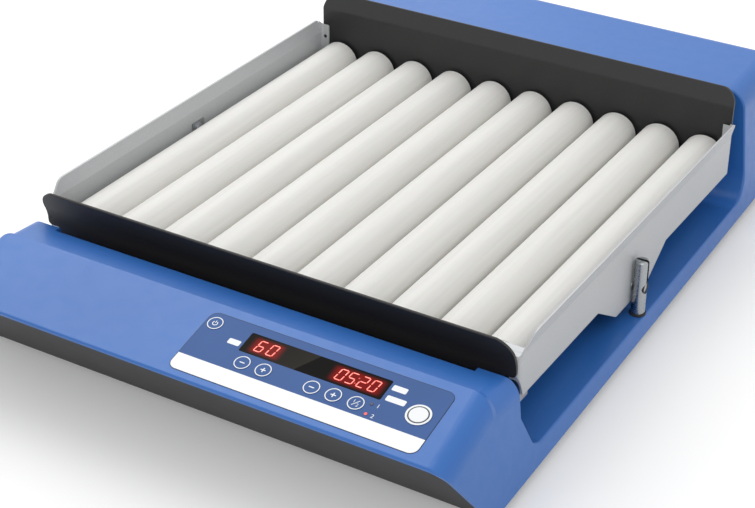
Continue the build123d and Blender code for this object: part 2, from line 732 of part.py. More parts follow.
key_speed_minus = key_cap(SPEED_MINUS)
key_speed_minus.part.label = "key_speed_minus"
export_step(key_speed_minus.part, "parts/key_speed_minus.step")

key_speed_plus = key_cap(SPEED_PLUS)
key_speed_plus.part.label = "key_speed_plus"
export_step(key_speed_plus.part, "parts/key_speed_plus.step")

key_time_minus = key_cap(TIME_MINUS)
key_time_minus.part.label = "key_time_minus"
export_step(key_time_minus.part, "parts/key_time_minus.step")

key_time_plus = key_cap(TIME_PLUS)
key_time_plus.part.label = "key_time_plus"
export_step(key_time_plus.part, "parts/key_time_plus.step")

key_mode = key_cap(MODE_KEY)
key_mode.part.label = "key_mode"
export_step(key_mode.part, "parts/key_mode.step")

key_start_stop = key_cap(START_KEY)
key_start_stop.part.label = "key_start_stop"
export_step(key_start_stop.part, "parts/key_start_stop.step")

# Low-voltage inlet in the back wall
with BuildPart() as power_inlet:
    with BuildSketch(Plane.XZ.offset(-BACK_Y)):
        with Locations((INLET_X, INLET_Z)):
            Circle(INLET_COLLAR_R)
    extrude(amount=WALL)
    with BuildSketch(Plane.XZ.offset(-BACK_Y + WALL)):
        with Locations((INLET_X, INLET_Z)):
            Circle(INLET_BODY_R)
    extrude(amount=INLET_DEPTH)
    with BuildSketch(Plane.XZ.offset(-BACK_Y)):
        with Locations((INLET_X, INLET_Z)):
            Circle(INLET_RECESS_R)
    extrude(amount=INLET_RECESS, mode=Mode.SUBTRACT)
    with BuildSketch(Plane.XZ.offset(-BACK_Y + INLET_RECESS)):
        with Locations((INLET_X, INLET_Z)):
            Circle(INLET_JACK_R)
            Circle(INLET_TIP_R, mode=Mode.SUBTRACT)
    extrude(amount=INLET_JACK_DEPTH, mode=Mode.SUBTRACT)

power_inlet.part.label = "power_inlet"
export_step(power_inlet.part, "parts/power_inlet.step")


# Slotted posts that carry the tray
def pivot_post(side):
    """Post on one side of the bay; side is +1 or -1."""
    with BuildPart() as post:
        with BuildSketch(Plane.XY.offset(FLOOR_Z)):
            with Locations((side * POST_X, PIVOT_Y)):
                Circle(POST_R)
        extrude(amount=POST_TOP_Z - FLOOR_Z)
        fillet(post.edges().group_by(Axis.Z)[-1], radius=POST_DOME_R)
        with BuildSketch(Plane.XY.offset(FLOOR_Z)):
            with Locations((side * POST_X, PIVOT_Y)):
                Circle(POST_STUD_R)
        extrude(amount=-POST_STUD_LENGTH)
        with BuildSketch(Plane.YZ.offset(side * POST_X)):
            with Locations((PIVOT_Y, PIVOT_Z)):
                Circle(PIVOT_BUSH_R)
            with Locations((PIVOT_Y, (PIVOT_Z + POST_TOP_Z + 1) / 2)):
                Rectangle(POST_SLOT, POST_TOP_Z + 1 - PIVOT_Z)
        extrude(amount=2 * POST_R, both=True, mode=Mode.SUBTRACT)
    return post


pivot_post_left = pivot_post(-1)
pivot_post_left.part.label = "pivot_post_left"
export_step(pivot_post_left.part, "parts/pivot_post_left.step")

pivot_post_right = pivot_post(1)
pivot_post_right.part.label = "pivot_post_right"
export_step(pivot_post_right.part, "parts/pivot_post_right.step")

with BuildPart() as post_seals:
    with BuildSketch(Plane.XY.offset(FLOOR_Z)):
        with Locations((POST_X, PIVOT_Y), (-POST_X, PIVOT_Y)):
            Circle(POST_R + SEAL_W)
            Circle(POST_R, mode=Mode.SUBTRACT)
    extrude(amount=SEAL_H)

post_seals.part.label = "post_seals"
export_step(post_seals.part, "parts/post_seals.step")

with BuildPart() as pivot_bushes:
    for side in (1, -1):
        with BuildSketch(Plane.YZ.offset(side * POST_X)):
            with Locations((PIVOT_Y, PIVOT_Z)):
                Circle(PIVOT_BUSH_R)
                Circle(PIVOT_PIN_R + RUNNING_GAP, mode=Mode.SUBTRACT)
        extrude(amount=POST_R - 0.6, both=True)

pivot_bushes.part.label = "pivot_bushes"
export_step(pivot_bushes.part, "parts/pivot_bushes.step")

# Yoke in the well that the crank works against
with BuildPart() as rocker_yoke:
    with BuildSketch(Plane.YZ.offset(YOKE_X)):
        with BuildLine():
            Polyline(
                (YOKE_FRONT_Y, WELL_Z),
                (YOKE_REAR_Y, WELL_Z),
                (YOKE_REAR_Y, CRANK_Z + YOKE_HALF_SLOT + YOKE_JAW),
                (YOKE_FRONT_Y, CRANK_Z + YOKE_HALF_SLOT + YOKE_JAW),
                (YOKE_FRONT_Y, CRANK_Z + YOKE_HALF_SLOT),
                (YOKE_REAR_Y - YOKE_WEB, CRANK_Z + YOKE_HALF_SLOT),
                (YOKE_REAR_Y - YOKE_WEB, CRANK_Z - YOKE_HALF_SLOT),
                (YOKE_FRONT_Y, CRANK_Z - YOKE_HALF_SLOT),
                close=True,
            )
        make_face()
    extrude(amount=YOKE_T)
    with BuildSketch(Plane.XY.offset(WELL_Z)):
        with Locations((YOKE_X + YOKE_T / 2, (YOKE_FRONT_Y + YOKE_REAR_Y) / 2)):
            Rectangle(YOKE_FOOT_W, YOKE_REAR_Y - YOKE_FRONT_Y)
    extrude(amount=2.0)

rocker_yoke.part.label = "rocker_yoke"
export_step(rocker_yoke.part, "parts/rocker_yoke.step")

# Tray: black front plate with a forward lip
with BuildPart() as front_plate:
    with BuildSketch(Plane.YZ):
        with BuildLine():
            FilletPolyline(
                (FRONT_PLATE_Y, FRONT_BOTTOM_Z),
                (FRONT_PLATE_Y, FRONT_LIP_BEND_Z),
                (FRONT_PLATE_Y - FRONT_LEAN, FRONT_TOP_Z),
                (FRONT_PLATE_Y - FRONT_LEAN + 1.85, FRONT_TOP_Z + 0.7),
                (FRONT_PLATE_Y + END_SHEET, FRONT_LIP_BEND_Z + 0.4),
                (FRONT_PLATE_Y + END_SHEET, FRONT_BOTTOM_Z),
                radius=[0, 24, 0.8, 0.8, 22, 0],
                close=True,
            )
        make_face()
    extrude(amount=FRONT_HALF, both=True)
    with BuildSketch(Plane.XZ):
        with BuildLine():
            FilletPolyline(
                (-FRONT_STEP_HALF, FRONT_BOTTOM_Z),
                (-FRONT_STEP_HALF, FRONT_STEP_Z),
                (-FRONT_HALF, FRONT_STEP_Z),
                (-FRONT_HALF, FRONT_TOP_Z + 0.7),
                (FRONT_HALF, FRONT_TOP_Z + 0.7),
                (FRONT_HALF, FRONT_STEP_Z),
                (FRONT_STEP_HALF, FRONT_STEP_Z),
                (FRONT_STEP_HALF, FRONT_BOTTOM_Z),
                radius=[0, 1, 3, FRONT_CORNER_R, FRONT_CORNER_R, 3, 1, 0],
                close=True,
            )
        make_face()
    extrude(amount=WIDE, both=True, mode=Mode.INTERSECT)
    with BuildSketch(Plane.XZ.offset(-FRONT_PLATE_Y)):
        for side in (1, -1):
            with Locations((side * RIVET_X, FRONT_RIVETS[0]), (side * RIVET_X, FRONT_RIVETS[1])):
                Circle(RIVET_R)
    extrude(amount=2 * END_SHEET, both=True, mode=Mode.SUBTRACT)

front_plate.part.label = "front_plate"
export_step(front_plate.part, "parts/front_plate.step")

# Tray: black rear plate, its top band leaning back
with BuildPart() as rear_plate:
    with BuildSketch(Plane.YZ):
        with BuildLine():
            FilletPolyline(
                (REAR_PLATE_Y, REAR_BOTTOM_Z),
                (REAR_PLATE_Y, REAR_BEND_Z),
                (REAR_PLATE_Y + REAR_LEAN, REAR_TOP_Z),
                (REAR_PLATE_Y + REAR_LEAN + END_SHEET, REAR_TOP_Z),
                (REAR_PLATE_Y + END_SHEET, REAR_BEND_Z - 0.4),
                (REAR_PLATE_Y + END_SHEET, REAR_BOTTOM_Z),
                radius=[0, 6, 0.8, 0.8, 4, 0],
                close=True,
            )
        make_face()
    extrude(amount=REAR_HALF, both=True)
    with BuildSketch(Plane.XZ):
        with BuildLine():
            FilletPolyline(
                (-REAR_HALF, REAR_BOTTOM_Z),
                (-REAR_HALF, REAR_TOP_Z),
                (REAR_HALF, REAR_TOP_Z),
                (REAR_HALF, REAR_BOTTOM_Z),
                radius=[0, REAR_CORNER_R, REAR_CORNER_R, 0],
                close=True,
            )
        make_face()
    extrude(amount=WIDE, both=True, mode=Mode.INTERSECT)
    with BuildSketch(Plane.XZ.offset(-REAR_PLATE_Y)):
        for roller_x in ROLLER_X:
            with Locations((roller_x, ROLLER_Z)):
                Circle(BUSH_R)
        for side in (1, -1):
            with Locations((side * RIVET_X, REAR_RIVETS[0]), (side * RIVET_X, REAR_RIVETS[1])):
                Circle(RIVET_R)
    extrude(amount=-2 * END_SHEET, both=True, mode=Mode.SUBTRACT)

rear_plate.part.label = "rear_plate"
export_step(rear_plate.part, "parts/rear_plate.step")


# Tray: grey side plates with end flanges, outward lip and pivot tab
def side_plate(side):
    """Bent side plate; side is +1 or -1."""
    with BuildPart() as plate:
        with BuildSketch(Plane.XY.offset(TAB_BOTTOM_Z)):
            with BuildLine():
                FilletPolyline(
                    (side * (TRAY_HALF - FLANGE_REACH), SIDE_FRONT_Y),
                    (side * TRAY_HALF, SIDE_FRONT_Y),
                    (side * TRAY_HALF, SIDE_REAR_Y),
                    (side * (TRAY_HALF - FLANGE_REACH), SIDE_REAR_Y),
                    radius=[0, SIDE_BEND_R, SIDE_BEND_R, 0],
                    close=True,
                )
            make_face()
            with BuildLine():
                FilletPolyline(
                    (side * (TRAY_HALF - FLANGE_REACH - 1), SIDE_FRONT_Y + SIDE_SHEET),
                    (side * (TRAY_HALF - SIDE_SHEET), SIDE_FRONT_Y + SIDE_SHEET),
                    (side * (TRAY_HALF - SIDE_SHEET), SIDE_REAR_Y - SIDE_SHEET),
                    (side * (TRAY_HALF - FLANGE_REACH - 1), SIDE_REAR_Y - SIDE_SHEET),
                    radius=[0, SIDE_BEND_R - SIDE_SHEET, SIDE_BEND_R - SIDE_SHEET, 0],
                    close=True,
                )
            make_face(mode=Mode.SUBTRACT)
        extrude(amount=SIDE_BEND_Z - TAB_BOTTOM_Z)
        with BuildSketch(Plane.XZ.offset(-LIP_FRONT_Y)):
            with BuildLine():
                Polyline(
                    (side * (TRAY_HALF - SIDE_SHEET), SIDE_BEND_Z),
                    (side * TRAY_HALF, SIDE_BEND_Z),
                    (side * (TRAY_HALF + SIDE_FLARE), SIDE_TOP_Z),
                    (side * (TRAY_HALF + SIDE_FLARE - SIDE_SHEET), SIDE_TOP_Z),
                    close=True,
                )
            make_face()
        extrude(amount=-(LIP_REAR_Y - LIP_FRONT_Y))
        with BuildSketch(Plane.XY.offset(SIDE_BEND_Z)):
            with BuildLine():
                FilletPolyline(
                    (side * (TRAY_HALF - FLANGE_REACH), SIDE_REAR_Y),
                    (side * TRAY_HALF, SIDE_REAR_Y),
                    (side * TRAY_HALF, LIP_REAR_Y - 0.5),
                    (side * (TRAY_HALF - SIDE_SHEET), LIP_REAR_Y - 0.5),
                    (side * (TRAY_HALF - SIDE_SHEET), SIDE_REAR_Y - SIDE_SHEET),
                    (side * (TRAY_HALF - FLANGE_REACH), SIDE_REAR_Y - SIDE_SHEET),
                    radius=[0, SIDE_BEND_R, 0, 0, SIDE_BEND_R - SIDE_SHEET, 0],
                    close=True,
                )
            make_face()
        extrude(amount=SIDE_TOP_Z - SIDE_BEND_Z)
        with BuildSketch(Plane.YZ):
            with BuildLine():
                FilletPolyline(
                    (SIDE_FRONT_Y + SIDE_SET_BACK, SIDE_BOTTOM_Z),
                    (PIVOT_Y - TAB_HALF_TOP, SIDE_BOTTOM_Z),
                    (PIVOT_Y - TAB_HALF_BOTTOM, TAB_BOTTOM_Z),
                    (PIVOT_Y + TAB_HALF_BOTTOM, TAB_BOTTOM_Z),
                    (PIVOT_Y + TAB_HALF_TOP, SIDE_BOTTOM_Z),
                    (SIDE_REAR_Y, SIDE_BOTTOM_Z),
                    (SIDE_REAR_Y, REAR_CORNER_Z),
                    (SIDE_REAR_Y - REAR_CORNER_RUN, SIDE_TOP_Z),
                    (SIDE_FRONT_Y + FRONT_CORNER_RUN, SIDE_TOP_Z),
                    (SIDE_FRONT_Y, FRONT_CORNER_Z),
                    (SIDE_FRONT_Y, SIDE_STRAIGHT_Z),
                    radius=[1, 4, 8, 8, 4, 3, 1.5, 3, LIP_CORNER_R, 1, 3],
                    close=True,
                )
            make_face()
        extrude(amount=WIDE, both=True, mode=Mode.INTERSECT)
        with BuildSketch(Plane.YZ):
            with Locations((PIVOT_Y, PIVOT_Z)):
                Circle(PIVOT_PIN_R)
            with Locations((PIVOT_Y, LUG_NUT_Z)):
                Circle(STUD_R)
        extrude(amount=side * WIDE, mode=Mode.SUBTRACT)
        with BuildSketch(Plane.XZ):
            with Locations((side * RIVET_X, FRONT_RIVETS[0]), (side * RIVET_X, FRONT_RIVETS[1])):
                Circle(RIVET_R)
        extrude(amount=WIDE, mode=Mode.SUBTRACT)
        with BuildSketch(Plane.XZ):
            with Locations((side * RIVET_X, REAR_RIVETS[0]), (side * RIVET_X, REAR_RIVETS[1])):
                Circle(RIVET_R)
        extrude(amount=-WIDE, mode=Mode.SUBTRACT)
    return plate


side_plate_left = side_plate(-1)
side_plate_left.part.label = "side_plate_left"
export_step(side_plate_left.part, "parts/side_plate_left.step")

side_plate_right = side_plate(1)
side_plate_right.part.label = "side_plate_right"
export_step(side_plate_right.part, "parts/side_plate_right.step")

with BuildPart() as plate_rivets:
    for side in (1, -1):
        with BuildSketch(Plane.XZ.offset(-FRONT_PLATE_Y)):
            with Locations((side * RIVET_X, FRONT_RIVETS[0]), (side * RIVET_X, FRONT_RIVETS[1])):
                Circle(RIVET_R)
        extrude(amount=-(SIDE_FRONT_Y + SIDE_SHEET - FRONT_PLATE_Y))
        with BuildSketch(Plane.XZ.offset(-REAR_PLATE_Y - END_SHEET)):
            with Locations((side * RIVET_X, REAR_RIVETS[0]), (side * RIVET_X, REAR_RIVETS[1])):
                Circle(RIVET_R)
        extrude(amount=REAR_PLATE_Y + END_SHEET - SIDE_REAR_Y + SIDE_SHEET)

plate_rivets.part.label = "plate_rivets"
export_step(plate_rivets.part, "parts/plate_rivets.step")

# Bearing plate behind the belts, with a hood over them and a tab for the drive shaft
with BuildPart() as bearing_plate:
    with BuildSketch(Plane.XZ.offset(-BEARING_Y)):
        with Locations((0, (BEARING_BOTTOM_Z + BEARING_TOP_Z) / 2)):
            Rectangle(2 * BEARING_HALF, BEARING_TOP_Z - BEARING_BOTTOM_Z)
        with Locations((0, DRIVE_Z)):
            Circle(DRIVE_TAB_R)
        with Locations((0, (BEARING_BOTTOM_Z + DRIVE_Z) / 2)):
            Rectangle(2 * DRIVE_TAB_R, BEARING_BOTTOM_Z - DRIVE_Z)
        for roller_x in ROLLER_X:
            with Locations((roller_x, ROLLER_Z)):
                Circle(BUSH_R, mode=Mode.SUBTRACT)
        with Locations((0, DRIVE_Z)):
            Circle(SHAFT_R + RUNNING_GAP, mode=Mode.SUBTRACT)
    extrude(amount=-END_SHEET)
    for side in (1, -1):
        with BuildSketch(Plane.XY.offset(BEARING_BOTTOM_Z)):
            with Locations((side * (BEARING_HALF - SIDE_SHEET / 2), (BEARING_LIP_Y + BEARING_Y) / 2)):
                Rectangle(SIDE_SHEET, BEARING_Y - BEARING_LIP_Y)
        extrude(amount=BEARING_TOP_Z - BEARING_BOTTOM_Z)
        with BuildSketch(Plane.XY.offset(BEARING_BOTTOM_Z)):
            with Locations((side * (BELT_BAY_HALF + FRONT_STEP_HALF) / 2, (BEARING_LIP_Y + BEARING_Y) / 2)):
                Rectangle(FRONT_STEP_HALF - BELT_BAY_HALF, BEARING_Y - BEARING_LIP_Y)
        extrude(amount=SIDE_SHEET)
    with BuildSketch(Plane.XY.offset(BEARING_TOP_Z)):
        with Locations((0, (BEARING_HOOD_Y + BEARING_Y) / 2)):
            Rectangle(2 * FRONT_STEP_HALF, BEARING_Y - BEARING_HOOD_Y)
        with Locations((0, (BEARING_LIP_Y + BEARING_Y) / 2)):
            Rectangle(2 * BEARING_HALF, BEARING_Y - BEARING_LIP_Y)
    extrude(amount=-SIDE_SHEET)

bearing_plate.part.label = "bearing_plate"
export_step(bearing_plate.part, "parts/bearing_plate.step")

# Drip pan under the rollers
with BuildPart() as drip_pan:
    with BuildSketch(Plane.XZ.offset(-PAN_FRONT_Y)):
        with BuildLine():
            Polyline(
                (-PAN_HALF, PAN_TOP_Z),
                (-PAN_HALF, 48.6),
                (-172.5, 44.0),
                (-167.5, PAN_BOTTOM_Z),
                (167.5, PAN_BOTTOM_Z),
                (172.5, 44.0),
                (PAN_HALF, 48.6),
                (PAN_HALF, PAN_TOP_Z),
                (PAN_HALF - PAN_SHEET, PAN_TOP_Z),
                (PAN_HALF - PAN_SHEET, 49.3),
                (171.9, 45.1),
                (167.0, PAN_BOTTOM_Z + PAN_SHEET),
                (-167.0, PAN_BOTTOM_Z + PAN_SHEET),
                (-171.9, 45.1),
                (-PAN_HALF + PAN_SHEET, 49.3),
                (-PAN_HALF + PAN_SHEET, PAN_TOP_Z),
                close=True,
            )
        make_face()
    extrude(amount=-(PAN_REAR_Y - PAN_FRONT_Y))
    for side in (1, -1):
        with BuildSketch(Plane.YZ.offset(side * PAN_HALF)):
            with Locations((PIVOT_Y, (PAN_TOP_Z + LUG_TOP_Z) / 2)):
                Rectangle(LUG_W, LUG_TOP_Z - PAN_TOP_Z)
        extrude(amount=-side * PAN_SHEET)
    with BuildSketch(Plane.YZ):
        with Locations((PIVOT_Y, LUG_NUT_Z)):
            Circle(STUD_R)
    extrude(amount=WIDE, both=True, mode=Mode.SUBTRACT)
    with BuildSketch(Plane.XY.offset(PAN_BOTTOM_Z)):
        with Locations((0, GEARBOX_MID_Y)):
            with GridLocations(*MOTOR_SCREWS, 2, 2):
                Circle(MOTOR_SCREW_R)
    extrude(amount=PAN_SHEET, mode=Mode.SUBTRACT)

drip_pan.part.label = "drip_pan"
export_step(drip_pan.part, "parts/drip_pan.step")

with BuildPart() as pan_nuts:
    for side in (1, -1):
        with BuildSketch(Plane.YZ.offset(side * (PAN_HALF - PAN_SHEET))):
            with Locations((PIVOT_Y, LUG_NUT_Z)):
                RegularPolygon(3.4, 6)
        extrude(amount=-side * 1.5)
        with BuildSketch(Plane.YZ.offset(side * TRAY_HALF)):
            with Locations((PIVOT_Y, LUG_NUT_Z)):
                Circle(STUD_R)
        extrude(amount=-side * (SIDE_SHEET + PAN_SHEET + 1.9))

pan_nuts.part.label = "pan_nuts"
export_step(pan_nuts.part, "parts/pan_nuts.step")

with BuildPart() as pivot_pins:
    for side in (1, -1):
        with BuildSketch(Plane.YZ.offset(side * (TRAY_HALF - SIDE_SHEET))):
            with Locations((PIVOT_Y, PIVOT_Z)):
                RegularPolygon(PIN_HEAD_R, 6)
        extrude(amount=-side * PIN_HEAD_T)
        with BuildSketch(Plane.YZ.offset(side * (TRAY_HALF - SIDE_SHEET))):
            with Locations((PIVOT_Y, PIVOT_Z)):
                Circle(PIVOT_PIN_R)
        extrude(amount=side * PIN_LENGTH)

pivot_pins.part.label = "pivot_pins"
export_step(pivot_pins.part, "parts/pivot_pins.step")

# Twenty identical flanged bushes for the roller journals
with BuildPart() as roller_bushes:
    for seat_y, inward in ((BEARING_Y, 1), (REAR_PLATE_Y + END_SHEET, -1)):
        for roller_x in ROLLER_X:
            with BuildSketch(Plane.XZ.offset(-seat_y)):
                with Locations((roller_x, ROLLER_Z)):
                    Circle(BUSH_R)
                    Circle(JOURNAL_R + RUNNING_GAP, mode=Mode.SUBTRACT)
            extrude(amount=-inward * (END_SHEET + BUSH_FLANGE_T))
            with BuildSketch(Plane.XZ.offset(-seat_y - inward * END_SHEET)):
                with Locations((roller_x, ROLLER_Z)):
                    Circle(BUSH_FLANGE_R)
                    Circle(JOURNAL_R + RUNNING_GAP, mode=Mode.SUBTRACT)
            extrude(amount=-inward * BUSH_FLANGE_T)

roller_bushes.part.label = "roller_bushes"
export_step(roller_bushes.part, "parts/roller_bushes.step")


def pulley(x, z, groove_r, flange_r, bore_r):
    """Two-groove pulley on an axis along Y, bored for its shaft."""
    steps = (
        (flange_r, PULLEY_FLANGE),
        (groove_r, GROOVE_WIDTH),
        (flange_r, PULLEY_FLANGE),
        (groove_r, GROOVE_WIDTH),
        (flange_r, PULLEY_END_FLANGE),
    )
    face_y = PULLEY_BACK_Y
    with BuildPart() as wheel:
        for step_r, width in steps:
            with BuildSketch(Plane.XZ.offset(-face_y)):
                with Locations((x, z)):
                    Circle(step_r)
                    Circle(bore_r, mode=Mode.SUBTRACT)
            extrude(amount=width)
            face_y -= width
    return wheel


# Rollers: a plastic tube, and the two plugs and pulley pressed into and onto it
for number, roller_x in enumerate(ROLLER_X, start=1):
    with BuildPart() as roller_tube:
        with BuildSketch(Plane.XZ.offset(-ROLLER_FRONT_Y)):
            with Locations((roller_x, ROLLER_Z)):
                Circle(ROLLER_R)
                Circle(ROLLER_R - TUBE_WALL, mode=Mode.SUBTRACT)
        extrude(amount=-(ROLLER_REAR_Y - ROLLER_FRONT_Y))
        rims = roller_tube.edges().filter_by(GeomType.CIRCLE)
        chamfer(rims.filter_by(lambda e: e.radius > ROLLER_R - 0.1), length=0.5)
    roller_tube.part.label = f"roller_tube_{number:02d}"
    export_step(roller_tube.part, f"parts/roller_tube_{number:02d}.step")

    with BuildPart() as front_plug:
        with BuildSketch(Plane.XZ.offset(-ROLLER_FRONT_Y)):
            with Locations((roller_x, ROLLER_Z)):
                Circle(ROLLER_R - TUBE_WALL)
        extrude(amount=-PLUG_DEPTH)
        with BuildSketch(Plane.XZ.offset(-ROLLER_FRONT_Y)):
            with Locations((roller_x, ROLLER_Z)):
                Circle(JOURNAL_R)
        extrude(amount=ROLLER_FRONT_Y - JOURNAL_END_Y)
    with BuildPart() as rear_plug:
        with BuildSketch(Plane.XZ.offset(-ROLLER_REAR_Y)):
            with Locations((roller_x, ROLLER_Z)):
                Circle(ROLLER_R - TUBE_WALL)
        extrude(amount=PLUG_DEPTH)
        with BuildSketch(Plane.XZ.offset(-ROLLER_REAR_Y)):
            with Locations((roller_x, ROLLER_Z)):
                Circle(JOURNAL_R)
        extrude(amount=-REAR_JOURNAL)
    roller_pulley = pulley(roller_x, ROLLER_Z, PULLEY_R, PULLEY_FLANGE_R, JOURNAL_R)
    roller_ends = Compound(children=[front_plug.part, rear_plug.part, roller_pulley.part])
    roller_ends.label = f"roller_ends_{number:02d}"
    export_step(roller_ends, f"parts/roller_ends_{number:02d}.step")

# Drive: gear motor under the pan, shaft and pulley, crank and its bearing
with BuildPart() as gear_motor:
    with BuildSketch(Plane.XZ.offset(-MOTOR_FRONT_Y)):
        with Locations((0, DRIVE_Z)):
            Circle(MOTOR_R)
    extrude(amount=-(GEARBOX_FRONT_Y - MOTOR_FRONT_Y))
    with BuildSketch(Plane.XY.offset(GEARBOX_BOTTOM_Z)):
        with Locations((0, GEARBOX_MID_Y)):
            Rectangle(2 * GEARBOX_HALF, GEARBOX_LENGTH)
    extrude(amount=PAN_BOTTOM_Z - GEARBOX_BOTTOM_Z)
    with BuildSketch(Plane.XZ.offset(-MOTOR_FRONT_Y)):
        with Locations((0, DRIVE_Z)):
            Circle(SHAFT_R + RUNNING_GAP)
    extrude(amount=-SHAFT_SOCKET, mode=Mode.SUBTRACT)
    with BuildSketch(Plane.YZ.offset(GEARBOX_HALF)):
        with Locations((CRANK_Y, CRANK_Z)):
            Circle(SHAFT_R + RUNNING_GAP)
    extrude(amount=-SHAFT_SOCKET, mode=Mode.SUBTRACT)
    with BuildSketch(Plane.XY.offset(PAN_BOTTOM_Z)):
        with Locations((0, GEARBOX_MID_Y)):
            with GridLocations(*MOTOR_SCREWS, 2, 2):
                Circle(MOTOR_SCREW_R)
    extrude(amount=-MOTOR_SCREW_DEPTH, mode=Mode.SUBTRACT)

gear_motor.part.label = "gear_motor"
export_step(gear_motor.part, "parts/gear_motor.step")

with BuildPart() as motor_screws:
    with BuildSketch(Plane.XY.offset(PAN_BOTTOM_Z + PAN_SHEET)):
        with Locations((0, GEARBOX_MID_Y)):
            with GridLocations(*MOTOR_SCREWS, 2, 2):
                Circle(2.4)
    extrude(amount=1.4)
    with BuildSketch(Plane.XY.offset(PAN_BOTTOM_Z + PAN_SHEET)):
        with Locations((0, GEARBOX_MID_Y)):
            with GridLocations(*MOTOR_SCREWS, 2, 2):
                Circle(MOTOR_SCREW_R)
    extrude(amount=-PAN_SHEET - MOTOR_SCREW_DEPTH)

motor_screws.part.label = "motor_screws"
export_step(motor_screws.part, "parts/motor_screws.step")

with BuildPart() as drive_shaft:
    with BuildSketch(Plane.XZ.offset(-MOTOR_FRONT_Y - SHAFT_SOCKET + 0.5)):
        with Locations((0, DRIVE_Z)):
            Circle(SHAFT_R)
    extrude(amount=MOTOR_FRONT_Y + SHAFT_SOCKET - 0.5 - JOURNAL_END_Y)
    add(pulley(0, DRIVE_Z, DRIVE_R, DRIVE_FLANGE_R, SHAFT_R / 2).part)

drive_shaft.part.label = "drive_shaft"
export_step(drive_shaft.part, "parts/drive_shaft.step")

with BuildPart() as rocker_crank:
    with BuildSketch(Plane.YZ.offset(GEARBOX_HALF - SHAFT_SOCKET + 0.5)):
        with Locations((CRANK_Y, CRANK_Z)):
            Circle(SHAFT_R)
    extrude(amount=SHAFT_SOCKET + 0.5)
    with BuildSketch(Plane.YZ.offset(GEARBOX_HALF + 1)):
        with Locations((CRANK_Y, CRANK_Z)):
            Circle(CRANK_DISC_R)
    extrude(amount=CRANK_DISC_T)
    with BuildSketch(Plane.YZ.offset(GEARBOX_HALF + 1 + CRANK_DISC_T)):
        with Locations((CRANK_Y + CRANK_THROW, CRANK_Z)):
            Circle(CRANK_PIN_R)
    extrude(amount=CRANK_PIN_LENGTH)

rocker_crank.part.label = "rocker_crank"
export_step(rocker_crank.part, "parts/rocker_crank.step")

with BuildPart() as crank_bearing:
    with BuildSketch(Plane.YZ.offset(YOKE_X + 0.2)):
        with Locations((CRANK_Y + CRANK_THROW, CRANK_Z)):
            Circle(CRANK_BEARING_R)
            Circle(CRANK_PIN_R, mode=Mode.SUBTRACT)
    extrude(amount=YOKE_T - 0.4)

crank_bearing.part.label = "crank_bearing"
export_step(crank_bearing.part, "parts/crank_bearing.step")

# Ten flat belts: eight join neighbouring rollers, two run down to the drive pulley
belt_runs = [
    ((0, DRIVE_Z, DRIVE_R), (ROLLER_X[4], ROLLER_Z, PULLEY_R), 0),
    ((0, DRIVE_Z, DRIVE_R), (ROLLER_X[5], ROLLER_Z, PULLEY_R), 1),
]
for step in range(4):
    left, right = 4 - step, 5 + step
    belt_runs.append(
        ((ROLLER_X[left], ROLLER_Z, PULLEY_R), (ROLLER_X[left - 1], ROLLER_Z, PULLEY_R), (step + 1) % 2)
    )
    belt_runs.append(
        ((ROLLER_X[right], ROLLER_Z, PULLEY_R), (ROLLER_X[right + 1], ROLLER_Z, PULLEY_R), step % 2)
    )
with BuildPart() as roller_belts:
    for first, second, plane in belt_runs:
        belt_plane = Plane.XZ.offset(-BELT_PLANES[plane])
        for grow, how in ((BELT_GAP + BELT_SHEET, Mode.ADD), (BELT_GAP, Mode.SUBTRACT)):
            with BuildSketch(belt_plane):
                for pulley_x, pulley_z, pulley_r in (first, second):
                    with Locations((pulley_x, pulley_z)):
                        Circle(pulley_r + grow)
                make_hull()
            extrude(amount=BELT_WIDTH / 2, both=True, mode=how)

roller_belts.part.label = "roller_belts"
export_step(roller_belts.part, "parts/roller_belts.step")
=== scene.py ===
"""Looks of a rocking roller mixer with ten rollers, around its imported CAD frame."""

import json
import logging
import math
from dataclasses import dataclass, field
from enum import Enum
from typing import Any, Callable, Iterable

import bpy
from mathutils import Matrix, Vector

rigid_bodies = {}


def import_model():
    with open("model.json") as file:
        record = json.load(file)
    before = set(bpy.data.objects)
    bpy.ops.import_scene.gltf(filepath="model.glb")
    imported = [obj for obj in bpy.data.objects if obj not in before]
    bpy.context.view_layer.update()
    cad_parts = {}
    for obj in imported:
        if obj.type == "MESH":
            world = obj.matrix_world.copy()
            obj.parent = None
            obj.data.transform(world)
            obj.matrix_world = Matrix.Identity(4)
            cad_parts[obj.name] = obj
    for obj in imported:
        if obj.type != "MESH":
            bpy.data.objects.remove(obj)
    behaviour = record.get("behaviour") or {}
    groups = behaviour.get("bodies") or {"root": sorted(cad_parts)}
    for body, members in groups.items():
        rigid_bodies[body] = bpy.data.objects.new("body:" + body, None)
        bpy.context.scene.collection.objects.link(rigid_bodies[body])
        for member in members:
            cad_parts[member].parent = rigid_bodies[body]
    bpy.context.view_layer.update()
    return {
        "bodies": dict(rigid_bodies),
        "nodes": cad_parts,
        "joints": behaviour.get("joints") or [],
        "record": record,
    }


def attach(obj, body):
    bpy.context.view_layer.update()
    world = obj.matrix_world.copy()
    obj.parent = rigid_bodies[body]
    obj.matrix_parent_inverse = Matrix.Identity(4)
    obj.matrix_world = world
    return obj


LOG = logging.getLogger("roller_mixer")
MM = 0.001

# Noise values between which a mottle runs from its low to its high colour
MOTTLE_SPAN = (0.3, 0.7)
# Factors along a surface that draw a noise out into fine lines and into wider streaks
LINE_DRAW = 0.02
STREAK_DRAW = 0.03
# Rays that show a surface itself rather than its light on something else
DIRECT_RAYS = ("Is Camera Ray", "Is Glossy Ray")
# Steps round a drawn circle, round the rim of a disc and along a letter's curve
CIRCLE_STEPS = 64
RIM_STEPS = 3
CURVE_STEPS = 4
# Largest rim of a disc, as a share of its height and of its radius
RIM_OF_HEIGHT = 0.45
RIM_OF_RADIUS = 0.2
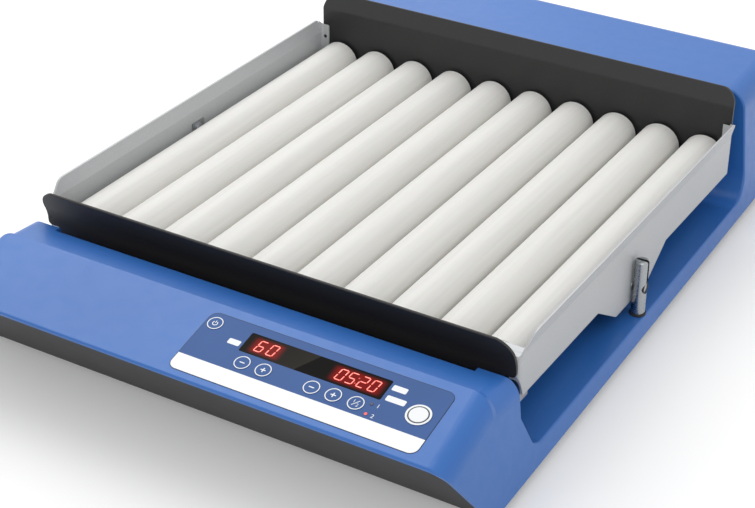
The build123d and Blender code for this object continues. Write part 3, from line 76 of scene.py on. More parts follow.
# Least upward part of the normal of a face that looks up
FACING_UP = 0.9

Colour = tuple[float, float, float, float]
Pair = tuple[float, float]
Triple = tuple[float, float, float]
Texts = tuple[tuple[str, Any], ...]
Mesh = bpy.types.Object


def linear(hex_colour: str) -> Colour:
    """Turns an sRGB hex value into the linear colour that the shaders take.

    Args:
        hex_colour: six hex digits after a hash mark.

    Returns:
        Linear red, green, blue and an alpha of 1.
    """
    channels = [int(hex_colour[i : i + 2], 16) / 255 for i in (1, 3, 5)]
    lit = [c / 12.92 if c <= 0.04045 else ((c + 0.055) / 1.055) ** 2.4 for c in channels]
    return (lit[0], lit[1], lit[2], 1.0)


def grey(value: float) -> Colour:
    """Gives one grey value as a colour."""
    return (value, value, value, 1.0)


@dataclass
class Graph:
    """Node tree of a material, with the material's shader, or of the world."""

    tree: bpy.types.NodeTree
    shader: Any = None

    def add(self, kind: str, settings: dict[Any, Any]) -> Any:
        """Adds one node.

        Args:
            kind: Blender's name of the node type.
            settings: properties by name, and inputs by shown name or number with what put takes.

        Returns:
            The new node.
        """
        node = self.tree.nodes.new(kind)
        for key, value in settings.items():
            if isinstance(key, str) and hasattr(node, key):
                setattr(node, key, value)
            else:
                self.put(node.inputs[key], value)
        return node

    def put(self, target: Any, value: Any) -> None:
        """Feeds an input.

        Args:
            target: the input.
            value: a socket that is linked to it, or its fixed value.
        """
        if isinstance(value, bpy.types.NodeSocket):
            self.tree.links.new(value, target)
        else:
            target.default_value = value

    def shade(self, **inputs: Any) -> None:
        """Feeds the shader's inputs, which are named with underscores for spaces."""
        for key, value in inputs.items():
            self.put(self.shader.inputs[key.replace("_", " ")], value)

    def maths(self, operation: str, *values: Any) -> Any:
        """Gives the socket of a value worked out from sockets or numbers."""
        return self.add("ShaderNodeMath", {"operation": operation, **dict(enumerate(values))}).outputs[0]

    def vector_maths(self, operation: str, *values: Any) -> Any:
        """Gives the socket of a vector worked out from sockets or fixed vectors."""
        settings = {"operation": operation, **dict(enumerate(values))}
        return self.add("ShaderNodeVectorMath", settings).outputs["Vector"]

    def blend(self, share: Any, low: Any, high: Any) -> Any:
        """Gives the socket of a colour between two others, by the share of the second one."""
        return self.add("ShaderNodeMix", {"data_type": "RGBA", 0: share, 6: low, 7: high}).outputs[2]

    def fade(self, value: Any, span: Iterable[float], levels: Pair, how: str = "LINEAR") -> Any:
        """Runs from one level to another while a value runs over a span.

        Args:
            value: socket of the value.
            span: the values at which the run starts and ends.
            levels: what it gives before and after the run.
            how: Blender's name of the interpolation.

        Returns:
            The value socket.
        """
        ends = dict(zip(("From Min", "From Max", "To Min", "To Max"), (*span, *levels)))
        settings = {"interpolation_type": how, "Value": value, **ends}
        return self.add("ShaderNodeMapRange", settings).outputs["Result"]

    def seen_by(self, rays: Iterable[str]) -> Any:
        """Tells whether a ray is of one of some kinds.

        Args:
            rays: the light path's names of the kinds.

        Returns:
            A value socket, 1 for such a ray and 0 for others.
        """
        path = self.add("ShaderNodeLightPath", {})
        seen, *others = (path.outputs[ray] for ray in rays)
        for other in others:
            seen = self.maths("MAXIMUM", seen, other)
        return seen

    def place(self, stretch: Triple = (1.0, 1.0, 1.0)) -> Any:
        """Gives the socket of the object-space place, stretched per axis."""
        spot = self.add("ShaderNodeTexCoord", {}).outputs["Object"]
        return self.add("ShaderNodeMapping", {"Scale": stretch, "Vector": spot}).outputs["Vector"]

    def noise(self, size_mm: float, where: Any, detail: float) -> Any:
        """Gives the socket of a noise of a real size, with some octaves of detail."""
        settings = {"Scale": 1 / (size_mm * MM), "Detail": detail, "Vector": where}
        return self.add("ShaderNodeTexNoise", settings).outputs["Fac"]

    def mottle(self, size_mm: float, pair: tuple[Any, Any], where: Any, detail: float = 2.0) -> Any:
        """Mixes two colours by a noise of a real size.

        Args:
            size_mm: width of one patch.
            pair: the colours at low and at high noise, each an sRGB hex value or a linear colour.
            where: socket of the place.
            detail: octaves of the noise.

        Returns:
            The colour socket.
        """
        ramp = self.add("ShaderNodeValToRGB", {"Fac": self.noise(size_mm, where, detail)})
        for stop, position, colour in zip(ramp.color_ramp.elements, MOTTLE_SPAN, pair):
            stop.position = position
            stop.color = linear(colour) if isinstance(colour, str) else colour
        return ramp.outputs["Color"]

    def dull(self, size_mm: float, mean: float, change: Pair, where: Any, detail: float = 2.0) -> None:
        """Lets the shader's roughness drift round its mean, by a change below and one above it."""
        low, high = (grey(mean + step) for step in change)
        self.shade(Roughness=self.mottle(size_mm, (low, high), where, detail))

    def relief(self, size_mm: float, depth_mm: float, where: Any, detail: float = 3.0, **below: Any) -> None:
        """Gives the shader a fine relief of a real size.

        Args:
            size_mm: width of one grain.
            depth_mm: height of one grain.
            where: socket of the place.
            detail: octaves of the noise.
            below: as Normal, the socket of the normal that the relief lies on, where there is one.
        """
        height = self.noise(size_mm, where, detail)
        bump = self.add("ShaderNodeBump", {"Distance": depth_mm * MM, "Height": height, **below})
        self.shade(Normal=bump.outputs["Normal"])


class Along(Enum):
    """Direction in which the lines of a worked metal run."""

    X = (1.0, 0.0, 0.0)
    Y = (0.0, 1.0, 0.0)
    Z = (0.0, 0.0, 1.0)


@dataclass(frozen=True)
class Finish:
    """A surface finish: one base colour, the gloss of its material and the pattern that a subclass adds.

    Attributes:
        name: material name.
        colour: sRGB hex of the surface.
        roughness: micro-roughness of the surface.
        ior: index of refraction, left at 1.5 for metals.
    """

    name: str
    colour: str
    roughness: float = 0.5
    ior: float = 1.5

    def material(self) -> bpy.types.Material:
        """Makes the Blender material.

        Returns:
            The material, the same one on every call.
        """
        made = bpy.data.materials.get(self.name)
        if made:
            return made
        made = bpy.data.materials.new(self.name)
        made.use_nodes = True
        graph = Graph(made.node_tree, made.node_tree.nodes["Principled BSDF"])
        graph.shade(Base_Color=linear(self.colour), Roughness=self.roughness, IOR=self.ior)
        self.pattern(graph)
        return made

    def pattern(self, graph: Graph) -> None:
        """Adds what makes the surface more than one flat colour."""


@dataclass(frozen=True)
class MouldedCover(Finish):
    """Glossy ABS, injection moulded against a finely eroded tool.

    The eye sees a clear blue body with a soft sheen of the bright room on it, which turns the
    faces that look up pale, and a grain that only breaks the edge of that sheen.
    """

    shade: str = "#2b68b6"
    patch_mm: float = 140.0
    gloss_patch_mm: float = 9.0
    gloss_change: Pair = (-0.03, 0.04)
    grain_mm: float = 0.9
    grain_depth_mm: float = 0.008
    sheen: float = 0.13
    sheen_roughness: float = 0.26

    def pattern(self, graph: Graph) -> None:
        """Adds slow colour drift, uneven gloss, the moulding skin's sheen and the tool's grain.

        Args:
            graph: the material's nodes.
        """
        here = graph.place()
        graph.shade(Base_Color=graph.mottle(self.patch_mm, (self.shade, self.colour), here))
        graph.dull(self.gloss_patch_mm, self.roughness, self.gloss_change, here)
        graph.shade(Coat_Weight=self.sheen, Coat_Roughness=self.sheen_roughness)
        graph.relief(self.grain_mm, self.grain_depth_mm, here)


@dataclass(frozen=True)
class MouldedPlastic(Finish):
    """ABS or nylon, moulded with a matt grain.

    The eye sees an even dark grey whose highlights are wide and broken by the grain.
    """

    worn: str = "#4d4e50"
    patch_mm: float = 24.0
    patch_detail: float = 5.0
    grain_mm: float = 0.8
    grain_depth_mm: float = 0.02

    def pattern(self, graph: Graph) -> None:
        """Adds faint lighter patches and the grain.

        Args:
            graph: the material's nodes.
        """
        here = graph.place()
        patches = graph.mottle(self.patch_mm, (self.colour, self.worn), here, self.patch_detail)
        graph.shade(Base_Color=patches)
        graph.relief(self.grain_mm, self.grain_depth_mm, here)


@dataclass(frozen=True)
class ExtrudedTube(Finish):
    """Hard PVC, extruded and centreless ground.

    The eye sees an even, warm off-white, nearly matt, with faint long streaks and fine grinding
    rings round the tube that are drawn 1.6 mm apart so that they show.
    """

    shade: str = "#dfdeda"
    streak_mm: float = 3.0
    ring_mm: float = 1.6
    ring_change: Pair = (-0.04, 0.05)
    ring_depth_mm: float = 0.006
    milk: float = 0.06
    milk_depth_mm: float = 2.0

    def pattern(self, graph: Graph) -> None:
        """Adds long colour streaks, grinding rings in gloss and relief, and a trace of milkiness.

        Args:
            graph: the material's nodes.
        """
        streaks = graph.place((1.0, STREAK_DRAW, 1.0))
        graph.shade(Base_Color=graph.mottle(self.streak_mm, (self.shade, self.colour), streaks, detail=3.0))
        rings = graph.place((LINE_DRAW, 1.0, LINE_DRAW))
        graph.dull(self.ring_mm, self.roughness, self.ring_change, rings, detail=4.0)
        graph.relief(self.ring_mm, self.ring_depth_mm, rings)
        graph.shade(Subsurface_Weight=self.milk, Subsurface_Scale=self.milk_depth_mm * MM)


@dataclass(frozen=True)
class PowderCoat(Finish):
    """Sheet steel with polyester powder, baked.

    The eye sees a closed, slightly wavy skin, the orange peel, and a thin bright line where the
    skin draws back over the sheet's edges.
    """

    speck: str = "#3a3a3b"
    speck_mm: float = 0.7
    peel_mm: float = 1.4
    peel_depth_mm: float = 0.02
    flake: float = 0.0
    edge_mm: float = 0.35
    edge_samples: int = 4

    def pattern(self, graph: Graph) -> None:
        """Adds pigment specks, metal flake, softly rounded edges and orange peel.

        Args:
            graph: the material's nodes.
        """
        here = graph.place()
        specks = graph.mottle(self.speck_mm, (self.colour, self.speck), here, detail=1.0)
        graph.shade(Base_Color=specks, Metallic=self.flake)
        edge = graph.add("ShaderNodeBevel", {"samples": self.edge_samples, "Radius": self.edge_mm * MM})
        normal = edge.outputs["Normal"]
        graph.relief(self.peel_mm, self.peel_depth_mm, here, detail=2.0, Normal=normal)


@dataclass(frozen=True)
class WorkedMetal(Finish):
    """Steel or aluminium with the marks of brushing or turning.

    The eye sees a mirror drawn out across fine parallel lines, with duller and brighter bands.
    """

    along: Along = Along.Y
    line_mm: float = 0.35
    line_depth_mm: float = 0.004
    lines_per_band: float = 4.0
    band_change: Pair = (-0.07, 0.12)

    def pattern(self, graph: Graph) -> None:
        """Adds the lines to the gloss and to the relief.

        Args:
            graph: the material's nodes.
        """
        graph.shade(Metallic=1.0)
        lines = graph.place(tuple(LINE_DRAW if step else 1.0 for step in self.along.value))
        band_mm = self.line_mm * self.lines_per_band
        graph.dull(band_mm, self.roughness, self.band_change, lines, detail=4.0)
        graph.relief(self.line_mm, self.line_depth_mm, lines)


@dataclass(frozen=True)
class MouldedRubber(MouldedPlastic):
    """Nitrile rubber, moulded, whose paler patches are a trace of bloom.

    The eye sees a black that is never deep, because a grey film and a fine grain scatter light.
    """

    worn: str = "#2e2e30"
    patch_mm: float = 5.0
    patch_detail: float = 4.0
    grain_mm: float = 0.5
    grain_depth_mm: float = 0.03


@dataclass(frozen=True)
class BoardLaminate(Finish):
    """Glass-fibre laminate under green solder lacquer.

    The eye sees a glossy green with a net of paler copper lines under it.
    """

    copper: str = "#3c8a55"
    field_mm: float = 10.0
    track: float = 0.012

    def pattern(self, graph: Graph) -> None:
        """Adds a pattern of copper tracks below the lacquer.

        Args:
            graph: the material's nodes.
        """
        settings = {
            "Vector": graph.place(),
            "Scale": 1 / (self.field_mm * MM),
            "Color1": linear(self.colour),
            "Color2": linear(self.colour),
            "Mortar": linear(self.copper),
            "Mortar Size": self.track,
        }
        graph.shade(Base_Color=graph.add("ShaderNodeTexBrick", settings).outputs["Color"])


@dataclass(frozen=True)
class Slope:
    """The sloping panel face: a flat frame whose y runs up the slope and whose z leaves the face.

    Attributes:
        top_mm: place and height of the face's upper edge.
        foot_mm: place and height of its lower edge.
    """

    top_mm: Pair = (-218.5, 79.5)
    foot_mm: Pair = (-281.5, 64.8)

    @property
    def tilt(self) -> float:
        """Angle of the face above the table, in radians."""
        return math.atan2(self.top_mm[1] - self.foot_mm[1], self.top_mm[0] - self.foot_mm[0])

    @property
    def origin(self) -> Triple:
        """Middle of the face's upper edge, in metres."""
        return (0.0, self.top_mm[0] * MM, self.top_mm[1] * MM)

    def matrix(self) -> Matrix:
        """Gives the move from the flat frame to the object's frame."""
        return Matrix.Translation(self.origin) @ Matrix.Rotation(self.tilt, 4, "X")

    def flat_place(self, graph: Graph) -> Any:
        """Gives the place on the face in a material.

        Args:
            graph: the material's nodes.

        Returns:
            The vector socket: x across, y up the slope, both in metres.
        """
        spot = graph.add("ShaderNodeTexCoord", {}).outputs["Object"]
        moved = graph.vector_maths("SUBTRACT", spot, self.origin)
        settings = {"rotation_type": "X_AXIS", "Vector": moved, "Angle": -self.tilt}
        return graph.add("ShaderNodeVectorRotate", settings).outputs["Vector"]


SLOPE = Slope()


@dataclass(frozen=True)
class PrintedFoil(Finish):
    """Polyester foil, screen printed on its back.

    The eye sees an even, dull blue below a smooth skin, with a plain white band along its lower
    edge and a thin dark line of painted shadow where the foil ends.

    Attributes:
        drift: second blue that the first one drifts to.
        band_top_mm: distance of the band's upper edge from the top of the slope; far for no band.
        painted_edge_shadow_mm: width of the painted shadow line round the foil, 0 for none.
        middle_mm: middle of the foil on the slope.
        half_mm: half of its width and height.
        corner_mm: radius of its corners.
        mirror: strength of its reflections.
    """

    drift: str = "#325a98"
    drift_mm: float = 60.0
    band: str = "#fdfdfd"
    band_top_mm: float = 46.2
    # painted shadow: colour of the dark line along the foil's edge
    painted_edge_shadow: str = "#22314b"
    painted_edge_shadow_mm: float = 0.45
    middle_mm: Triple = (80.5, -33.1, 0.0)
    half_mm: Pair = (87.0, 26.1)
    corner_mm: float = 6.0
    mirror: float = 0.3
    ripple_mm: float = 6.0
    ripple_depth_mm: float = 0.01

    def pattern(self, graph: Graph) -> None:
        """Adds the white band, the painted shadow line along the edge and the faint ripple of a glued foil.

        Args:
            graph: the material's nodes.
        """
        flat = SLOPE.flat_place(graph)
        up = graph.add("ShaderNodeSeparateXYZ", {"Vector": flat}).outputs["Y"]
        below = graph.maths("LESS_THAN", up, -self.band_top_mm * MM)
        blue = graph.mottle(self.drift_mm, (self.colour, self.drift), flat)
        body = graph.blend(below, blue, linear(self.band))
        # painted shadow along the foil's rounded edge
        if self.painted_edge_shadow_mm:
            body = graph.blend(self.rim(graph, flat), body, linear(self.painted_edge_shadow))
        graph.shade(Base_Color=body, Specular_IOR_Level=self.mirror)
        graph.relief(self.ripple_mm, self.ripple_depth_mm, flat)

    def rim(self, graph: Graph, flat: Any) -> Any:
        """Finds the strip along the foil's rounded edge that gets the painted shadow.

        Args:
            graph: the material's nodes.
            flat: place on the slope.

        Returns:
            A value socket, 1 on the strip and 0 inside it.
        """
        any_height = 1.0
        core = [(half - self.corner_mm) * MM for half in self.half_mm] + [any_height]
        away = graph.vector_maths("SUBTRACT", flat, [place * MM for place in self.middle_mm])
        away = graph.vector_maths("ABSOLUTE", away)
        away = graph.vector_maths("SUBTRACT", away, core)
        away = graph.vector_maths("MAXIMUM", away, (0.0, 0.0, 0.0))
        reach = graph.add("ShaderNodeVectorMath", {"operation": "LENGTH", 0: away}).outputs["Value"]
        return graph.maths("GREATER_THAN", reach, (self.corner_mm - self.painted_edge_shadow_mm) * MM)


@dataclass(frozen=True)
class SmokedWindow(Finish):
    """Smoked acrylic in front of the number display.

    The eye sees a deep black pane with a painted paler reflection that grows from its left to a
    slanting line between the numbers, and a painted red glow of the lit numbers spread round them in the
    pane.

    Attributes:
        painted_reflection: colour of the pane where the painted reflection is full.
        painted_reflection_left: share of the painted reflection at the pane's left edge, at left_mm.
        line_mm: places of the slanting line at the pane's upper and lower edge.
        top_down_mm: distance of the pane's upper edge from the top of the slope.
        mirror: strength of its sharp reflections.
        glow: colour of the painted glow round the numbers.
        glow_spans_mm: places of each number's left and right side.
        glow_edge_mm: where the light's fade starts and ends, out from a number's side.
        glow_down_mm: distance of the numbers' middle from the top of the slope.
        glow_level_mm: where it starts and ends above and below that middle.
    """

    # painted reflection: paler colour of the pane towards the slanting line, and its share at the left edge
    painted_reflection: str = "#2e2b27"
    painted_reflection_left: float = 0.1
    left_mm: float = 27.0
    line_mm: Pair = (77.0, 67.0)
    top_down_mm: float = 13.4
    height_mm: float = 16.6
    mirror: float = 0.03
    # painted glow: red light that the pane itself gives off round the numbers
    glow: str = "#a01008"
    glow_strength: float = 0.6
    glow_spans_mm: tuple[Pair, Pair] = ((34.5, 51.0), (92.0, 122.5))
    glow_edge_mm: Pair = (-2.0, 5.0)
    glow_down_mm: float = 21.8
    glow_level_mm: Pair = (3.5, 8.0)

    def pattern(self, graph: Graph) -> None:
        """Adds a painted paler reflection left of a slanting line and a painted red glow round the numbers.

        Args:
            graph: the material's nodes.
        """
        parts = graph.add("ShaderNodeSeparateXYZ", {"Vector": SLOPE.flat_place(graph)})
        across, up = parts.outputs["X"], parts.outputs["Y"]
        lean = (self.line_mm[0] - self.line_mm[1]) / self.height_mm
        line = (self.line_mm[0] + self.top_down_mm * lean) * MM
        past = graph.maths("ADD", across, graph.maths("MULTIPLY", up, -lean))
        # painted reflection: grows from the pane's left edge to the slanting line, none past it
        growth = graph.fade(past, (self.left_mm * MM, line), (self.painted_reflection_left, 1.0))
        amount = graph.maths("MULTIPLY", growth, graph.maths("LESS_THAN", past, line))
        # painted glow of the numbers, given off by the pane
        red = graph.blend(self.halo(graph, across, up), grey(0.0), linear(self.glow))
        graph.shade(
            Base_Color=graph.blend(amount, linear(self.colour), linear(self.painted_reflection)),
            Emission_Color=red,
            Emission_Strength=self.glow_strength,
            Specular_IOR_Level=self.mirror,
        )

    def halo(self, graph: Graph, across: Any, up: Any) -> Any:
        """Fades the painted glow from each number outwards.

        Args:
            graph: the material's nodes.
            across: socket of the place across the face.
            up: socket of the place up the slope.

        Returns:
            A socket, 1 on a number and 0 well off it.
        """
        besides = []
        for left, right in self.glow_spans_mm:
            middle, half = (left + right) / 2, (right - left) / 2
            away = graph.maths("ABSOLUTE", graph.maths("SUBTRACT", across, middle * MM))
            span = [(half + edge) * MM for edge in self.glow_edge_mm]
            besides.append(graph.fade(away, span, (1.0, 0.0), "SMOOTHERSTEP"))
        away = graph.maths("ABSOLUTE", graph.maths("ADD", up, self.glow_down_mm * MM))
        level = graph.fade(away, [edge * MM for edge in self.glow_level_mm], (1.0, 0.0), "SMOOTHERSTEP")
        return graph.maths("MULTIPLY", graph.maths("ADD", *besides), level)


@dataclass(frozen=True)
class LitSegment(Finish):
    """Light-emitting diode behind a diffusing pane.

    The eye sees a lit red that is a little uneven, as through a diffuser. A number has a paler
    layer of its own for the middle of each stroke.
    """

    core: str = "#ff9a86"
    strength: float = 0.9
    cell_mm: float = 1.2

    def pattern(self, graph: Graph) -> None:
        """Adds the light, brighter in small cells."""
        light = graph.mottle(self.cell_mm, (self.colour, self.core), graph.place())
        graph.shade(Emission_Color=light, Emission_Strength=self.strength)


@dataclass(frozen=True)
class ScreenInk(Finish):
    """Opaque screen-printing ink.

    The eye sees a thin, even film with the faint tooth of the printing mesh.
    """

    mesh_mm: float = 0.25
    tooth_mm: float = 0.004

    def pattern(self, graph: Graph) -> None:
        """Adds the tooth of the mesh."""
        graph.relief(self.mesh_mm, self.tooth_mm, graph.place())


@dataclass(frozen=True)
class StudioCard(Finish):
    """Matt white card that is lit evenly from behind.

    The eye sees a nearly white ground on which only the soft shadow shows.
    """

    lift: float = 0.17

    def pattern(self, graph: Graph) -> None:
        """Adds the card's own light, for the camera and mirror images only."""
        level = graph.maths("MULTIPLY", graph.seen_by(DIRECT_RAYS), self.lift)
        graph.shade(Emission_Color=grey(1.0), Emission_Strength=level)


COVER_BLUE = MouldedCover("blue_moulded_abs", "#2f6dbd", 0.4, 1.48)
BASE_GREY = MouldedPlastic("grey_moulded_abs", "#2f2f31", 0.62, 1.45, worn="#353537")
BLACK_NYLON = MouldedPlastic("black_nylon", "#1b1b1d", 0.5, worn="#252527")
TUBE_WHITE = ExtrudedTube("white_extruded_pvc", "#e6e5e1", 0.5)
FRONT_BLACK = PowderCoat("black_powder_coat", "#211f1e", 0.5, speck="#272524")
REAR_BLACK = PowderCoat("charcoal_powder_coat", "#1e1e1f", 0.45, speck="#262627")
SIDE_SILVER = PowderCoat("silver_powder_coat", "#bbbdbf", 0.45, speck="#c5c7c9", flake=0.15)
PAN_STEEL = WorkedMetal("brushed_stainless_steel", "#a8aaac", 0.38, along=Along.X)
POST_STEEL = WorkedMetal(
    "turned_bright_steel", "#a6aaad", 0.24, along=Along.X, line_mm=0.3, line_depth_mm=0.001
)
SCREW_STEEL = WorkedMetal("zinc_plated_steel", "#b4b6ba", 0.3, along=Along.Z, line_mm=0.4)
MOTOR_METAL = WorkedMetal("die_cast_aluminium", "#8d9094", 0.42, along=Along.Y, line_mm=0.8)
FOOT_RUBBER = MouldedRubber("black_moulded_rubber", "#1a1a1b", 0.72)
BELT_RUBBER = MouldedRubber("black_belt_rubber", "#232324", 0.8)
BOARD_GREEN = BoardLaminate("green_circuit_laminate", "#1c5433", 0.3)
FOIL_BLUE = PrintedFoil("blue_printed_foil", "#2f5590", 0.5)
KEY_BLUE = PrintedFoil("blue_key_foil", "#2f5590", 0.5, band_top_mm=400.0, painted_edge_shadow_mm=0.0)
PANE_SMOKED = SmokedWindow("smoked_acrylic", "#0e0c0b", 0.2, 1.49)
LIT_RED = LitSegment("lit_red_diode", "#a80c06", 0.4, core="#d8180e", strength=0.8)
LIT_CORE = LitSegment("lit_diode_core", "#ff7a66", 0.4, core="#ffc8bc", strength=1.0)
LED_RED = LitSegment("lit_round_diode", "#c01818", 0.3, core="#ff8a80", strength=0.7)
LED_DARK = ScreenInk("unlit_blue_diode", "#0c1a44", 0.2)
INK_WHITE = ScreenInk("white_screen_ink", "#f4f6f8", 0.5)
INK_DARK = ScreenInk("dark_screen_ink", "#26303f", 0.45)
FLOOR_CARD = StudioCard("pale_studio_card", "#f3f3f3", 0.8)


def nothing_selected() -> None:
    """Leaves edit mode and deselects everything, because an operator acts on all that is selected."""
    if bpy.context.object and bpy.context.object.mode != "OBJECT":
        bpy.ops.object.mode_set(mode="OBJECT")
    bpy.ops.object.select_all(action="DESELECT")


def pick_faces(obj: Mesh, wanted: Callable[[Any], bool]) -> None:
    """Selects faces of a piece in edit mode by a test on each face.

    Args:
        obj: the piece, in edit mode.
        wanted: test that says whether a face is selected.
    """
    bpy.ops.mesh.select_all(action="DESELECT")
    bpy.ops.object.mode_set(mode="OBJECT")
    for face in obj.data.polygons:
        face.select = wanted(face)
    bpy.ops.object.mode_set(mode="EDIT")


@dataclass
class Marking:
    """Flat marks on the sloping panel, drawn as by hand and raised to the thickness of ink.

    Sizes are in mm, angles in radians, and a place is given across and down the slope.

    Attributes:
        body: CAD body that carries the finished piece.
        slot: material slot of the record; not used.
        floor_mm: height of its underside above the panel face.
        rise_mm: thickness of the film.
        shapes: the shapes drawn so far.
    """

    name: str
    body: str
    slot: str
    floor_mm: float
    rise_mm: float
    shapes: list[Mesh] = field(default_factory=list)

    def keep(self, finish: Finish) -> None:
        """Keeps the active object as one shape of the marking.

        Args:
            finish: its finish.
        """
        bpy.ops.object.mode_set(mode="OBJECT")
        shape = bpy.context.object
        shape.data.materials.clear()
        shape.data.materials.append(finish.material())
        self.shapes.append(shape)

    def underside(self, place: Pair) -> Vector:
        """Gives a place on the film's underside in the flat frame, in metres."""
        return Vector((place[0] * MM, -place[1] * MM, self.floor_mm * MM))

    def circle(self, place: Pair, radius: float) -> Mesh:
        """Starts a flat round face.

        Args:
            place: its middle.
            radius: its radius.

        Returns:
            The shape, in edit mode and all selected.
        """
        nothing_selected()
        bpy.ops.mesh.primitive_circle_add(
            vertices=CIRCLE_STEPS, radius=radius * MM, fill_type="NGON", location=self.underside(place)
        )
        bpy.ops.object.transform_apply()
        bpy.ops.object.mode_set(mode="EDIT")
        bpy.ops.mesh.select_all(action="SELECT")
        return bpy.context.object

    def raise_film(self, height: float) -> None:
        """Raises the flat shape that is in edit mode.

        Args:
            height: its new thickness.
        """
        bpy.ops.mesh.select_all(action="SELECT")
        bpy.ops.mesh.extrude_region_move(TRANSFORM_OT_translate={"value": (0.0, 0.0, height * MM)})
        bpy.ops.mesh.select_all(action="SELECT")
        bpy.ops.mesh.normals_make_consistent(inside=False)

    def ring(self, place: Pair, radius: float, width: float, finish: Finish, gap: float = 0.0) -> None:
        """Draws a ring, open at its top where a gap is given.

        Args:
            place: its middle.
            radius: its outer radius.
            width: width of the line.
            finish: its finish.
            gap: half-angle of the opening.
        """
        ring = self.circle(place, radius)
        bpy.ops.mesh.inset(thickness=width * MM)
        bpy.ops.mesh.delete(type="FACE")
        if gap:
            hub = self.underside(place)
            pick_faces(ring, lambda face: abs(math.atan2(face.center.x - hub.x, face.center.y - hub.y)) < gap)
            bpy.ops.mesh.delete(type="FACE")
        self.raise_film(self.rise_mm)
        self.keep(finish)

    def disc(self, place: Pair, radius: float, finish: Finish, rise: float = 0.0) -> None:
        """Draws a disc with a rounded rim.

        Args:
            place: its middle.
            radius: its radius.
            finish: its finish.
            rise: its height, 0 for the film's.
        """
        disc = self.circle(place, radius)
        height = rise or self.rise_mm
        self.raise_film(height)
        pick_faces(disc, lambda face: face.normal.z > FACING_UP)
        rim = min(height * RIM_OF_HEIGHT, radius * RIM_OF_RADIUS)
        bpy.ops.mesh.bevel(offset=rim * MM, segments=RIM_STEPS)
        self.keep(finish)

    def bar(
        self, place: Pair, size: Pair, finish: Finish, corner: float = 0.0, segments: int = 4, turn: float = 0
    ) -> None:
        """Draws a bar with square, rounded or pointed ends.

        Args:
            place: its middle.
            size: width and height.
            finish: its finish.
            corner: how far each corner is cut back.
            segments: steps of each corner; 1 makes a pointed end.
            turn: turn about its middle.
        """
        nothing_selected()
        where = self.underside(place)
        bpy.ops.mesh.primitive_plane_add(size=1.0, location=where, rotation=(0.0, 0.0, turn))
        bpy.context.object.scale = (size[0] * MM, size[1] * MM, 1.0)
        bpy.ops.object.transform_apply()
        bpy.ops.object.mode_set(mode="EDIT")
        bpy.ops.mesh.select_all(action="SELECT")
        if corner:
            bpy.ops.mesh.bevel(affect="VERTICES", offset=corner * MM, segments=segments)
        self.raise_film(self.rise_mm)
        self.keep(finish)

    def figure(self, body: str, place: Pair, height: float, finish: Finish) -> None:
        """Draws a plain number, centred on the middle of its bounding box.

        Args:
            body: the characters.
            place: its middle.
            height: height of a line of text.
            finish: its finish.
        """
        nothing_selected()
        bpy.ops.object.text_add()
        text = bpy.context.object
        text.data.body = body
        text.data.size = height * MM
        text.data.extrude = self.rise_mm * MM / 2
        text.data.resolution_u = CURVE_STEPS
        bpy.ops.object.convert(target="MESH")
        corners = [Vector(corner) for corner in text.bound_box]
        middle = sum(corners, Vector()) / len(corners)
        level = (self.floor_mm + self.rise_mm / 2) * MM
        text.location = Vector((place[0] * MM, -place[1] * MM, level)) - middle
        bpy.ops.object.transform_apply()
        self.keep(finish)

    def finish(self, lean: float = 0.0) -> None:
        """Joins the shapes, lays them on the slope and lets them ride on their body.

        Args:
            lean: sideways lean of upright strokes, as a slope.
        """
        nothing_selected()
        for shape in self.shapes:
            shape.select_set(True)
        bpy.context.view_layer.objects.active = self.shapes[0]
        if len(self.shapes) > 1:
            bpy.ops.object.join()
        piece = bpy.context.object
        piece.name = self.name
        piece.data.name = self.name
        if lean:
            level = sum((vertex.co.y for vertex in piece.data.vertices)) / len(piece.data.vertices)
            for vertex in piece.data.vertices:
                vertex.co.x += (vertex.co.y - level) * lean
        piece.data.transform(SLOPE.matrix())
        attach(piece, self.body)
        LOG.info("%s: %d faces on %s", piece.name, len(piece.data.polygons), self.body)


def dress(frame: dict[str, Any], finishes: dict[Finish, Iterable[str]]) -> None:
    """Gives CAD nodes their finishes.

    Args:
        finishes: node names by finish.
    """
    for finish, names in finishes.items():
        for name in names:
            node = frame["nodes"][name]
            node.data.materials.clear()
            node.data.materials.append(finish.material())
            LOG.info("%s: %s", name, finish.name)


@dataclass
class Housing:
    """Blue cover, grey base and what is fixed to them."""

    frame: dict[str, Any]

    def build(self) -> None:
        """Dresses the housing's nodes."""
        finishes = {
            COVER_BLUE: ["housing_cover"],
            BASE_GREY: ["base_pan"],
            BLACK_NYLON: ["power_inlet", "pivot_bushes"],
            FOOT_RUBBER: ["rubber_feet", "post_seals"],
            POST_STEEL: ["pivot_post_left", "pivot_post_right"],
            SCREW_STEEL: ["base_screws", "front_lock"],
            PAN_STEEL: ["rocker_yoke"],
        }
        dress(self.frame, finishes)


class Glyph(Enum):
    """Mark on a key."""

    MINUS = "minus"
    PLUS = "plus"
    CHANGE = "change"
    POWER = "power"
    START = "start"


@dataclass(frozen=True)
class Key:
    """One key: its CAD node and body, place across and down the slope and radius in mm, and its mark."""

    name: str
    x: float
    down: float
    radius: float
    glyph: Glyph

    def spot(self, right: float = 0.0, below: float = 0.0) -> Pair:
        """Gives a place on the slope by its distances from the key's middle."""
        return (self.x + right, self.down + below)


